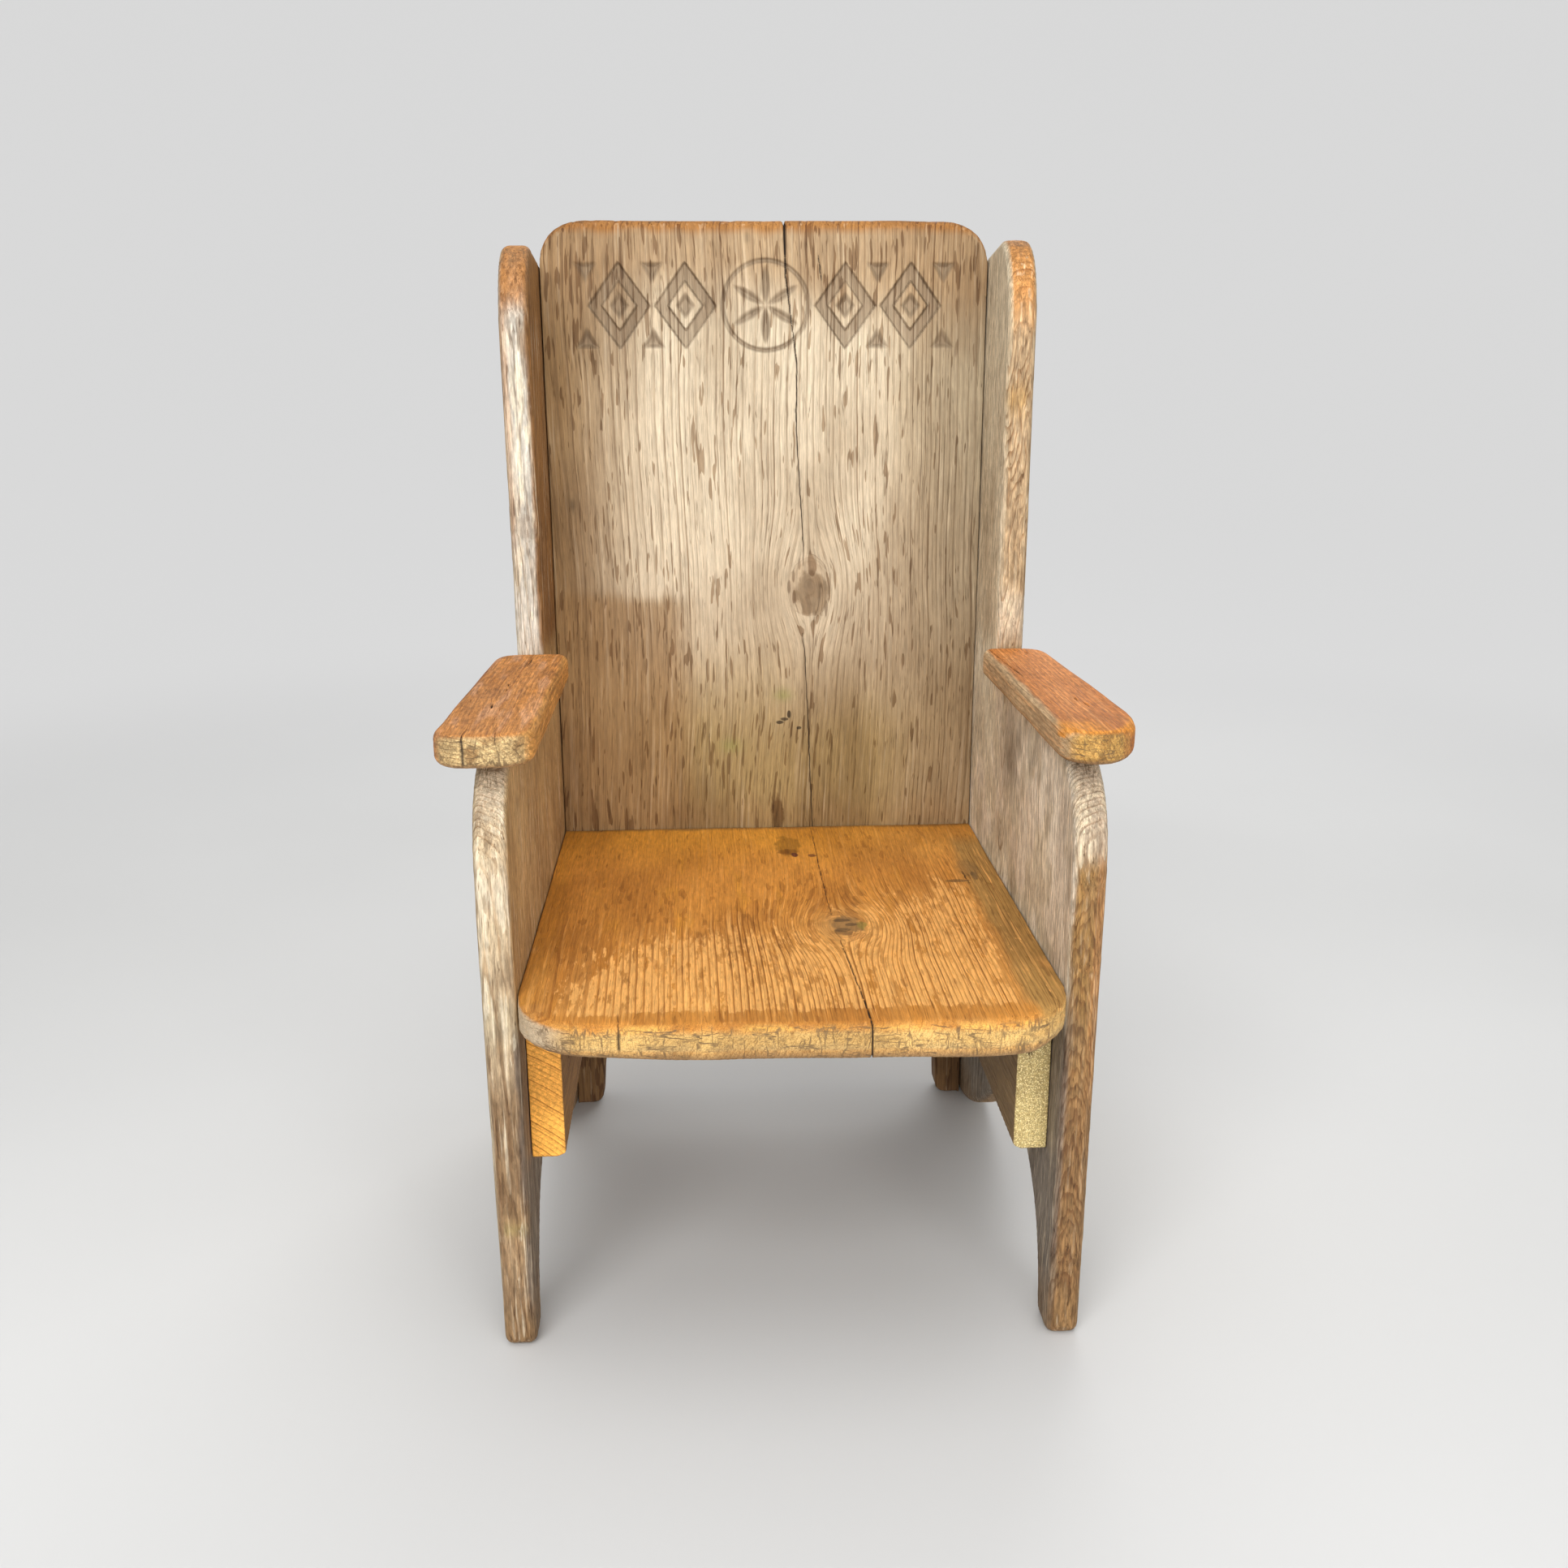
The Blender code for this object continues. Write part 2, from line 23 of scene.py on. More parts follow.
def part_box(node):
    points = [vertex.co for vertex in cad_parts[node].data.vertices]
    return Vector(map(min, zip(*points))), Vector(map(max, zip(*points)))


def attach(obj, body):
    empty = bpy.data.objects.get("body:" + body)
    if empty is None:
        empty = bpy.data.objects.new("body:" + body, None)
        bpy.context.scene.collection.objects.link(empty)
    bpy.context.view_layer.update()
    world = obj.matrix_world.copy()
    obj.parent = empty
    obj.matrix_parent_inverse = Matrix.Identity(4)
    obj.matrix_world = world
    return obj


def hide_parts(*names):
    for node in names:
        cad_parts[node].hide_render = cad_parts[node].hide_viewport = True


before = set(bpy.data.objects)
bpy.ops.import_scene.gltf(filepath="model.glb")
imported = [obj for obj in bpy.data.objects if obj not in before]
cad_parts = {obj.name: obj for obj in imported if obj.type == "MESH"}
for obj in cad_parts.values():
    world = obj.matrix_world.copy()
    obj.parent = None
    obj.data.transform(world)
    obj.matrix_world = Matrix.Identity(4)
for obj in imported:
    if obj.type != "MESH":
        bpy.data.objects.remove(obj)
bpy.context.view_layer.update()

# Camera, fitted to the chair's own right angles
IMAGE_PIXELS = 1932
FOCAL_PIXELS = 1764.9
SENSOR_WIDTH = 36.0
CAMERA_PLACE = (-0.0477, -0.9363, 0.6080)
CAMERA_YAW = math.radians(3.107)
CAMERA_PITCH = math.radians(16.308)
CAMERA_ROLL = math.radians(0.161)

# Places shared with the solids, in metres
BACK_FACE_Y = 0.175
BACK_MIDDLE_Y = 0.1855
SIDE_MIDDLE_X = 0.1755
SEAT_MIDDLE_Z = 0.2360
ARM_MIDDLE_Z = 0.3980
BEARER_MIDDLE_X = 0.15395
UPRIGHT_START_Z = 0.004

# Half thicknesses, in millimetres
BOARD_HALF = 10.5
ARM_HALF = 10.0
BEARER_HALF = 10.75

# How finely the boards are remade, in millimetres
SECTION_OFFSET = 0.0035
WELD = 0.00002
DENSE_STEP = 0.5
SHARP_TURN = math.radians(40)
RIM_SHARES = (0.049, 0.191, 0.412, 0.691, 1.0)
COARSE_SHARES = (0.412, 1.0)
SMALL_ROUND = 2.0
SOFT_REACH = 2.5
RIM_GAP = 0.3
RIM_LOOK_AHEAD = 0.6
RIM_CLEAR = 0.9
DETAIL_GAP = 0.35
STAGGER = 0.5
GRID_CLEAR = 0.4
GRID_GAP = 0.6
JOIN_DISTANCE = 1e-5

HASH_PRIMES = (0x9E3779B1, 0x85EBCA77, 0xC2B2AE3D)
HASH_SPREAD = 0x2C1B3C6D
HASH_SEED = 0x27D4EB2F
HASH_MASK = 0xFFFFFFFF
HASH_RANGE = 2.0 ** 32
OCTAVE_SCALE = 2.03
OCTAVE_SHIFT = 17.1

Knot = namedtuple("Knot", "across along out wide long")
Crack = namedtuple("Crack", "face reach path")
Pit = namedtuple("Pit", "across along out radius depth")
Spot = namedtuple("Spot", "across along wide long colour strength crisp", defaults=(False,))


# Number fields

def lattice(cells, seed):
    """A repeatable value from 0 to 1 for each whole-number cell."""
    mixed = np.full(len(cells), (seed * HASH_SEED) & HASH_MASK, dtype=np.uint32)
    for axis, prime in enumerate(HASH_PRIMES):
        mixed = mixed ^ (cells[:, axis].astype(np.uint32) * np.uint32(prime))
        mixed = (mixed ^ (mixed >> np.uint32(15))) * np.uint32(HASH_SPREAD)
    mixed = mixed ^ (mixed >> np.uint32(13))
    return mixed / HASH_RANGE


def noise(points, scale, seed, octaves=1):
    """Smooth noise from -1 to 1; scale is the size of its features on each axis."""
    spots = points / np.asarray(scale, dtype=float)
    total = np.zeros(len(points))
    whole = 0.0
    share = 1.0
    for octave in range(octaves):
        base = np.floor(spots).astype(np.int64)
        part = spots - base
        part = part * part * (3 - 2 * part)
        for corner in product((0, 1), repeat=3):
            weight = np.prod(np.where(corner, part, 1 - part), axis=1)
            total += share * weight * (2 * lattice(base + corner, seed + octave) - 1)
        whole += share
        share /= 2
        spots = spots * OCTAVE_SCALE + OCTAVE_SHIFT
    return total / whole


def blend(low, high, value):
    """A smooth step from 0 at low to 1 at high."""
    x = np.clip((value - low) / (high - low), 0.0, 1.0)
    return x * x * (3 - 2 * x)


def between(low, high, soft, value):
    """1 between low and high, with soft ends."""
    return blend(low - soft, low + soft, value) * (1 - blend(high - soft, high + soft, value))


def mix(colour, other, amount):
    """Colours moved towards another by an amount for each point."""
    amount = np.clip(np.asarray(amount), 0.0, 1.0)[:, None]
    return colour + (np.asarray(other) - colour) * amount


def plain(colour, w):
    """The same colour at every point."""
    return np.tile(np.asarray(colour, dtype=float), (len(w.a), 1))


# Outlines

def section(board):
    """The outline of a board's solid as (across, along), cut a little off its middle plane."""
    shape = bmesh.new()
    shape.from_mesh(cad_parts[board.node].data)
    bmesh.ops.remove_doubles(shape, verts=shape.verts, dist=WELD)
    bmesh.ops.bisect_plane(
        shape, geom=shape.verts[:] + shape.edges[:] + shape.faces[:], dist=1e-7,
        plane_co=board.origin + board.out * SECTION_OFFSET, plane_no=board.out,
        clear_inner=True, clear_outer=True,
    )
    loops = []
    left = set(shape.verts)
    while left:
        vert = left.pop()
        loop = [vert]
        while True:
            near = [edge.other_vert(vert) for edge in vert.link_edges]
            ahead = [other for other in near if other in left]
            if not ahead:
                break
            vert = ahead[0]
            left.discard(vert)
            loop.append(vert)
        loops.append([vert.co - board.origin for vert in loop])
    shape.free()
    longest = max(loops, key=lambda loop: sum((p - q).length for p, q in zip(loop, loop[1:])))
    corners = np.array([(p.dot(board.across), p.dot(board.along)) for p in longest]) * 1000
    after = np.roll(corners, -1, axis=0)
    area = np.sum(corners[:, 0] * after[:, 1] - after[:, 0] * corners[:, 1])
    return corners if area > 0 else corners[::-1]


def smooth_outline(corners):
    """The outline as close points: slight corners become curves and sharp ones stay."""
    ahead = np.roll(corners, -1, axis=0) - corners
    before = np.roll(ahead, 1, axis=0)
    length = np.linalg.norm(ahead, axis=1)
    turn = np.arctan2(
        before[:, 0] * ahead[:, 1] - before[:, 1] * ahead[:, 0],
        np.sum(before * ahead, axis=1),
    )
    sharp = np.abs(turn) > SHARP_TURN
    short = np.minimum(length, np.roll(length, 1))[:, None]
    unit = ahead / length[:, None]
    mean = unit * np.roll(length, 1)[:, None] + np.roll(unit, 1, axis=0) * length[:, None]
    mean /= np.linalg.norm(mean, axis=1)[:, None]
    leaving = np.where(sharp[:, None], unit, mean)
    arriving = np.where(sharp[:, None], np.roll(unit, 1, axis=0), mean)
    pieces = []
    for index, start in enumerate(corners):
        following = (index + 1) % len(corners)
        steps = max(1, math.ceil(length[index] / DENSE_STEP))
        s = (np.arange(steps) / steps)[:, None]
        pull = length[index]
        soft_start = min(1.0, SOFT_REACH * short[index, 0] / pull)
        soft_end = min(1.0, SOFT_REACH * short[following, 0] / pull)
        chord = start + ahead[index] * s
        curve = (
            (2 * s ** 3 - 3 * s ** 2 + 1) * start
            + (s ** 3 - 2 * s ** 2 + s) * pull * leaving[index]
            + (3 * s ** 2 - 2 * s ** 3) * corners[following]
            + (s ** 3 - s ** 2) * pull * arriving[following]
        )
        pieces.append(chord + (curve - chord) * min(soft_start, soft_end))
    return np.concatenate(pieces)


class Rim:
    """A board's smooth outline, sampled for the mesh, with distances to it."""

    def __init__(self, board):
        self.dense = smooth_outline(section(board))
        closed = np.vstack((self.dense, self.dense[:1]))
        walk = np.concatenate(([0.0], np.cumsum(np.linalg.norm(np.diff(closed, axis=0), axis=1))))
        self.length = walk[-1]
        self.tree = KDTree(len(self.dense))
        for index, (x, y) in enumerate(self.dense):
            self.tree.insert((x, y, 0.0), index)
        self.tree.balance()
        places = np.arange(0.0, self.length - board.rim_step / 2, board.rim_step)
        extra = [walk[self.tree.find((*spot, 0.0))[1]] for spot in board.rim_extra()]
        for place in extra:
            places = places[np.abs(places - place) > RIM_GAP]
            places = np.append(places, place)
        places = np.sort(places)

        def walked(place):
            place = place % self.length
            return np.column_stack([np.interp(place, walk, closed[:, axis]) for axis in (0, 1)])

        self.points = walked(places)
        tangent = walked(places + RIM_LOOK_AHEAD) - walked(places - RIM_LOOK_AHEAD)
        tangent /= np.linalg.norm(tangent, axis=1)[:, None]
        self.outward = np.column_stack((tangent[:, 1], -tangent[:, 0]))

    def nearest(self, points):
        """Index of the closest dense outline point and the distance to the outline itself."""
        found = np.array([self.tree.find((x, y, 0.0))[1] for x, y in points], dtype=np.int64)
        best = np.full(len(points), 1e9)
        for shift in (0, -1):
            start = self.dense[(found + shift) % len(self.dense)]
            along = self.dense[(found + shift + 1) % len(self.dense)] - start
            away = points - start
            share = np.clip(np.sum(away * along, axis=1) / np.sum(along * along, axis=1), 0, 1)
            best = np.minimum(best, np.linalg.norm(away - along * share[:, None], axis=1))
        return found, best

    def inside(self, points):
        """Whether each point lies inside the outline."""
        result = np.zeros(len(points), dtype=bool)
        order = np.argsort(points[:, 1], kind="stable")
        start = self.dense
        end = np.roll(self.dense, -1, axis=0)
        levels, first = np.unique(points[order, 1], return_index=True)
        for level, group in zip(levels, np.split(order, first[1:])):
            cross = (start[:, 1] <= level) != (end[:, 1] <= level)
            low, high = start[cross], end[cross]
            crossing = low[:, 0] + (level - low[:, 1]) * (high[:, 0] - low[:, 0]) / (high[:, 1] - low[:, 1])
            count = np.sum(crossing[None, :] > points[group, 0][:, None], axis=1)
            result[group] = count % 2 == 1
        return result


# Board meshes

def round_drop(inset, radius):
    """How far a rounded rim lies under the face, at a distance in from the outline."""
    left = np.clip(radius - inset, 0.0, None)
    return radius - np.sqrt(np.clip(radius ** 2 - left ** 2, 0.0, None))


def grid_points(rim, step):
    """Staggered points in even rows, along the grain, inside the outline."""
    low = rim.dense.min(axis=0)
    high = rim.dense.max(axis=0)
    rows = np.arange(low[1] + step[1] / 2, high[1], step[1])
    columns = np.arange(low[0] + step[0] / 2, high[0], step[0])
    across, along = np.meshgrid(columns, rows)
    across = across + np.where(np.arange(len(rows)) % 2, STAGGER * step[0], 0.0)[:, None]
    return np.column_stack((across.ravel(), along.ravel()))


def cap(board, rim, side):
    """One face of a board, as points in board space and triangles, with its rim points' numbers."""
    step = board.front_step if side > 0 else board.rear_step
    radius = board.rim(rim.points)
    layers = [rim.points]
    for share in RIM_SHARES:
        inset = radius * share
        points = rim.points - rim.outward * inset[:, None]
        chosen = (radius > SMALL_ROUND) | (share in COARSE_SHARES)
        points, inset = points[chosen], inset[chosen]
        _, distance = rim.nearest(points)
        layers.append(points[distance > RIM_CLEAR * inset])
    details = board.detail_points(side)
    if len(details):
        details = details[rim.inside(details)]
        _, distance = rim.nearest(details)
        details = details[distance > DETAIL_GAP]
        layers.append(details)
    grid = grid_points(rim, step)
    grid = grid[rim.inside(grid)]
    index, distance = rim.nearest(grid)
    rounding = board.rim(rim.dense[index])
    grid = grid[distance > rounding + GRID_CLEAR * min(step)]
    if len(details):
        tree = KDTree(len(details))
        for number, (x, y) in enumerate(details):
            tree.insert((x, y, 0.0), number)
        tree.balance()
        gap = GRID_GAP * min(step)
        grid = grid[[tree.find((x, y, 0.0))[2] > gap for x, y in grid]]
    layers.append(grid)
    flat = np.concatenate(layers)
    count = len(rim.points)
    ring = [(index, (index + 1) % count) for index in range(count)]
    places = [Vector(place) for place in flat]
    points, _, faces, sources, _, _ = delaunay_2d_cdt(places, ring, [], 1, JOIN_DISTANCE)
    points = np.array([tuple(p) for p in points])
    triangles = np.array([face[:3] for face in faces], dtype=np.int64)
    numbers = np.zeros(len(flat), dtype=np.int64)
    for number, origin in enumerate(sources):
        numbers[origin] = number
    first, second, third = (points[triangles[:, k]] for k in range(3))
    area = np.cross(second - first, third - first)
    wrong = area < 0 if side > 0 else area > 0
    triangles[wrong] = triangles[wrong][:, ::-1]
    index, inset = rim.nearest(points)
    inset[numbers[:count]] = 0.0
    rounding = board.rim(rim.dense[index])
    drop = board.drop(points, inset, rounding, side)
    height = side * (board.half - drop)
    return np.column_stack((points, height)), triangles, numbers[:count]


def board_shape(board):
    """Points and triangles of a whole board in board space: two faces and the walls between."""
    rim = Rim(board)
    front, front_faces, front_ring = cap(board, rim, 1)
    rear, rear_faces, rear_ring = cap(board, rim, -1)
    rear_ring = rear_ring + len(front)
    points = np.concatenate((front, rear))
    rows = [front_ring]
    top = points[front_ring]
    bottom = points[rear_ring]
    made = [points]
    total = len(points)
    for row in range(1, board.wall_rows):
        share = row / board.wall_rows
        made.append(top + (bottom - top) * share)
        rows.append(np.arange(total, total + len(top)))
        total += len(top)
    rows.append(rear_ring)
    faces = [front_faces, rear_faces + len(front)]
    for upper, lower in zip(rows, rows[1:]):
        following = np.roll(upper, -1)
        beneath = np.roll(lower, -1)
        faces.append(np.column_stack((upper, lower, beneath)))
        faces.append(np.column_stack((upper, beneath, following)))
    return np.concatenate(made), np.concatenate(faces)


def point_normals(points, triangles):
    """Normals of a mesh's points."""
    first, second, third = (points[triangles[:, k]] for k in range(3))
    facing = np.cross(second - first, third - first)
    normals = np.zeros_like(points)
    for corner in range(3):
        for axis in range(3):
            normals[:, axis] += np.bincount(triangles[:, corner], facing[:, axis], len(points))
    return normals / np.maximum(np.linalg.norm(normals, axis=1), 1e-9)[:, None]


# Grain, cracks and other marks

def knot_nearness(knot, points):
    """Distance from the middle of a knot, 1 at its edge; it runs right through where a place is None."""
    middle = (knot.across, knot.along, knot.out)
    sizes = (knot.wide, knot.long, knot.wide)
    parts = [(points[:, axis] - place) / size
             for axis, (place, size) in enumerate(zip(middle, sizes)) if place is not None]
    return np.sqrt(sum(part ** 2 for part in parts))


def grain_field(board, points):
    """The grain's own coordinates, the count of growth rings, and how much a point is knot."""
    bent = points.copy()
    bent[:, 0] += board.sway * noise(points, (300, 190, 300), board.seed + 11, 2)
    bent[:, 0] += board.curl * noise(points, (46, 34, 60), board.seed + 12, 2)
    knotty = np.zeros(len(points))
    knot_rings = np.zeros(len(points))
    for number, knot in enumerate(board.knots):
        near = knot_nearness(knot, points)
        pull = np.exp(-(near / 1.75) ** 2)
        bent[:, 0] -= (points[:, 0] - knot.across) * pull * 0.93
        near = near * (1 + 0.13 * noise(points, (13, 17, 13), board.seed + 40 + number, 2))
        inside = 1 - blend(0.82, 1.05, near)
        knot_rings = np.where(inside > knotty, near * board.knot_ring_count, knot_rings)
        knotty = np.maximum(knotty, inside)
    lean = board.lean * (points[:, 1] - board.lean_from) / 100
    beside = bent[:, 0] - board.pith[0]
    under = bent[:, 2] - board.pith[1] + lean
    distance = np.hypot(beside, under)
    uneven = np.column_stack((distance, np.zeros_like(distance), np.zeros_like(distance)))
    rings = distance / board.ring_width + board.tighten * (distance / 100) ** 2
    rings += 0.9 * noise(uneven, (15, 1, 1), board.seed + 13, 2)
    rings += 0.20 * noise(points, (26, 150, 26), board.seed + 14, 2)
    rings = rings * (1 - knotty) + (np.floor(rings.mean()) + knot_rings) * knotty
    return bent, rings, knotty


def late_wood(rings):
    """The dark, hard part of each ring, from 0 to 1."""
    phase = rings - np.floor(rings)
    return blend(0.45, 0.9, phase) * (1 - blend(0.93, 1.0, phase))


def crack_depth(board, points):
    """How deep the cracks cut into a board at each point."""
    deepest = np.zeros(len(points))
    for number, crack in enumerate(board.cracks):
        path = np.array(sorted(crack.path, key=lambda spot: spot[1]))
        middle = np.interp(points[:, 1], path[:, 1], path[:, 0])
        width = np.interp(points[:, 1], path[:, 1], path[:, 2])
        reach = (points[:, 1] > path[0, 1] - 0.5) & (points[:, 1] < path[-1, 1] + 3.0)
        jagged = np.column_stack((np.full(len(points), 7.7 * number), points[:, 1], np.zeros(len(points))))
        middle = middle + 0.35 * noise(jagged, (1, 5, 1), board.seed + 21, 2)
        width = width * (1 + 0.5 * noise(jagged, (1, 14, 1), board.seed + 22, 2))
        half = np.maximum(width / 2, 0.05)
        aside = np.abs(points[:, 0] - middle)
        near_face = blend(crack.reach + 1.0, crack.reach, board.half - crack.face * points[:, 2])
        depth = np.clip(1.15 - aside / (half + 0.22), 0, 1) * np.minimum(3.2, 0.5 + 2.2 * width)
        deepest = np.maximum(deepest, depth * near_face * reach * (width > 0.08))
    return deepest


def pit_depth(board, points):
    """How deep nail pits and dents go at each point."""
    deepest = np.zeros(len(points))
    for pit in board.pits:
        away = np.linalg.norm(points - np.array((pit.across, pit.along, pit.out)), axis=1)
        deepest = np.maximum(deepest, pit.depth * (1 - blend(0.85, 1.25, away / pit.radius)))
    return deepest


def crack_points(board, side):
    """Close points across each crack on one face, so that its walls are cut cleanly."""
    made = []
    for crack in board.cracks:
        if crack.face != side:
            continue
        path = np.array(sorted(crack.path, key=lambda spot: spot[1]))
        along = np.arange(path[0, 1], path[-1, 1], 1.5)
        middle = np.interp(along, path[:, 1], path[:, 0])
        width = np.interp(along, path[:, 1], path[:, 2]) / 2 + 0.35
        for share in (-1.25, -0.55, 0.0, 0.55, 1.25):
            made.append(np.column_stack((middle + width * share, along)))
    return made


def pit_points(board, side):
    """Rings of close points round the pits on one face."""
    made = []
    for pit in board.pits:
        if pit.out * side <= 0:
            continue
        for share, count in ((0.0, 1), (0.5, 8), (0.85, 14), (1.05, 16), (1.3, 16)):
            turn = np.arange(count) * 2 * math.pi / count
            ring = np.column_stack((np.cos(turn), np.sin(turn))) * pit.radius * share
            made.append(ring + (pit.across, pit.along))
    return made


# Carving on the back: a compass rosette between lozenges

FRIEZE_MIDDLE = (0.0, 646.0)
FRIEZE_HALF = (141.0, 36.0)
FRIEZE_STEP = 0.85
CARVE_DEPTH = 2.8
ROSETTE_RADIUS = 29.0
GROOVE_RADIUS = 31.5
LOZENGE_PLACES = (59.0, 107.5)
LOZENGE_HALF = (23.0, 31.0)
CHIP_PLACES = (83.0, 131.5)


def rosette_depth(x, y):
    """Six petals cut between compass arcs, inside a round groove."""
    depth = np.clip(1.9 - np.abs(np.hypot(x, y) - GROOVE_RADIUS), 0, 1.4) * 1.2
    for petal in range(6):
        edges = []
        for turn in (petal - 1, petal + 1):
            angle = math.radians(90 + 60 * turn)
            centre = (ROSETTE_RADIUS * math.cos(angle), ROSETTE_RADIUS * math.sin(angle))
            edges.append(ROSETTE_RADIUS - np.hypot(x - centre[0], y - centre[1]))
        inside = np.minimum(*edges)
        depth = np.maximum(depth, np.clip(inside * 0.75, 0, CARVE_DEPTH))
    return depth


def lozenge_depth(x, y):
    """A sunk lozenge with a raised one in its middle, chipped at its heart."""
    wide, high = LOZENGE_HALF
    inside = (1 - np.abs(x) / wide - np.abs(y) / high) * wide * high / math.hypot(wide, high)
    sunk = np.clip(inside / 0.8, 0, 1) * np.clip((8.6 - inside) / 0.8, 0, 1) * CARVE_DEPTH
    heart = np.clip((inside - 12.2) * 0.8, 0, CARVE_DEPTH)
    return np.maximum(sunk, heart)


def chip_depth(x, y):
    """A three-sided chip with its point towards the middle line."""
    sides = np.minimum(17.5 - y, (y - 1.0) * 0.50 - np.abs(x) * 0.86)
    return np.clip(sides * 0.75, 0, CARVE_DEPTH)


def carving(points):
    """How deep the back is carved at each point, before wear."""
    x = points[:, 0] - FRIEZE_MIDDLE[0]
    y = points[:, 1] - FRIEZE_MIDDLE[1]
    depth = rosette_depth(x, y)
    for place in LOZENGE_PLACES:
        depth = np.maximum(depth, lozenge_depth(np.abs(x) - place, y))
    for place in CHIP_PLACES:
        depth = np.maximum(depth, chip_depth(np.abs(x) - place, np.abs(y) - 13.0))
    return depth


def carving_edge(points):
    """How near each point is to a carved edge, from 0 to 1."""
    depths = [carving(points)]
    for across, along in ((0.9, 0.0), (-0.9, 0.0), (0.0, 0.9), (0.0, -0.9)):
        depths.append(carving(points + np.array((across, along, 0.0))))
    return blend(0.12, 0.55, np.ptp(depths, axis=0) / CARVE_DEPTH)


def carving_points():
    """Close points all over the carved band."""
    half = FRIEZE_HALF
    across = np.arange(-half[0], half[0], FRIEZE_STEP)
    along = np.arange(-half[1], half[1], FRIEZE_STEP)
    grid = np.meshgrid(across, along)
    return np.column_stack((grid[0].ravel() + FRIEZE_MIDDLE[0], grid[1].ravel() + FRIEZE_MIDDLE[1]))


# Colours, linear

BACK_PALE = (0.68, 0.57, 0.41)
BACK_BROWN = (0.29, 0.165, 0.055)
BACK_GREY = (0.50, 0.43, 0.30)
BACK_TOP = (0.41, 0.26, 0.127)
BACK_LOW = (0.305, 0.208, 0.066)
BACK_RIM = (0.41, 0.185, 0.048)
TIDE_BROWN = (0.33, 0.195, 0.08)
CARVED_FLOOR = (0.30, 0.22, 0.14)
WORN_ORANGE = (0.48, 0.25, 0.10)
TIP_ORANGE = (0.50, 0.225, 0.06)
RAW_WHITE = (0.64, 0.56, 0.45)
LEFT_SIDE = (0.57, 0.39, 0.185)
LEFT_FRONT = (0.66, 0.53, 0.355)
WING_WHITE = (0.59, 0.545, 0.475)
LEFT_LEG = (0.32, 0.21, 0.115)
RIGHT_SIDE = (0.79, 0.745, 0.585)
RIGHT_FRONT = (0.364, 0.210, 0.071)
RIGHT_LEG = (0.288, 0.162, 0.066)
RIGHT_WING = (0.46, 0.325, 0.19)
SEAT_ORANGE = (0.61, 0.254, 0.042)
SEAT_DEEP = (0.65, 0.283, 0.032)
SEAT_PALE = (0.74, 0.375, 0.105)
SEAT_GREY_AND_SHADOW = (0.43, 0.245, 0.070)
SEAT_END = (0.74, 0.475, 0.168)
SEAT_EDGE_HIGHLIGHT = (0.92, 0.52, 0.12)
LEFT_ARM = (0.555, 0.232, 0.058)
RIGHT_ARM = (0.54, 0.187, 0.036)
ARM_END = (0.58, 0.42, 0.205)
GOLD_END = (0.69, 0.42, 0.122)
NEW_WOOD = (0.95, 0.465, 0.087)
SAWN_WOOD = (0.52, 0.40, 0.17)
BEARER_SHADE = (0.22, 0.12, 0.06)
UNDERSIDE = (0.36, 0.22, 0.10)
LEFT_OUTER = (0.49, 0.385, 0.235)
RIGHT_OUTER = (0.46, 0.345, 0.20)
UNDER_SEAT_SHADE = (0.20, 0.150, 0.115)
UNDER_BACK_SHADE = (0.17, 0.085, 0.030)
STREAK_BROWN = (0.25, 0.155, 0.075)
STREAK_GREY = (0.42, 0.345, 0.255)
# Dark brown for dirt and dark marks, also used as painted shade under the arms, at carved edges and round
# the seat's notch.
DIRT_AND_SHADE = (0.10, 0.062, 0.032)
STAIN_BLACK = (0.042, 0.026, 0.013)
GREEN_SMEAR = (0.24, 0.26, 0.06)
KNOT_BROWN = (0.26, 0.12, 0.04)
KNOT_GREY = (0.29, 0.21, 0.12)
KNOT_DARK = (0.17, 0.105, 0.055)
DRIP_BROWN = (0.12, 0.06, 0.017)
AMBER = (0.33, 0.145, 0.013)
AMBER_RIM = (0.22, 0.08, 0.008)
WINE_RED = (0.085, 0.014, 0.014)
NOTCH_SHADE = (0.24, 0.135, 0.05)
KNOT_HEART = (0.32, 0.185, 0.07)
KNOT_HALO = (0.80, 0.48, 0.17)
KNOT_GREEN = (0.30, 0.25, 0.05)
WING_GOLD = (0.52, 0.30, 0.08)
LEFT_INNER_WING = (0.28, 0.13, 0.034)
RIGHT_INNER_WING = (0.64, 0.54, 0.38)
RIGHT_PALE = (0.95, 0.90, 0.78)
RIGHT_STAIN = (0.32, 0.275, 0.225)
SEAT_END_LOW = (0.46, 0.36, 0.20)
LEFT_ARM_PALE = (0.58, 0.30, 0.13)
LEFT_ARM_INNER = (0.62, 0.33, 0.09)
LEFT_ARM_OUTER = (0.42, 0.19, 0.07)
ARM_BROWN = (0.31, 0.135, 0.05)
ARM_PINK = (0.66, 0.36, 0.20)
ARM_DARK = (0.36, 0.16, 0.06)
ARM_END_DARK = (0.30, 0.165, 0.06)
RIGHT_ARM_PALE = (0.64, 0.27, 0.085)
RIGHT_ARM_INNER = (0.60, 0.46, 0.28)
RIGHT_ARM_OUTER = (0.50, 0.20, 0.05)
ARM_BRIGHT = (0.84, 0.35, 0.045)
GOLD_END_DARK = (0.32, 0.165, 0.045)


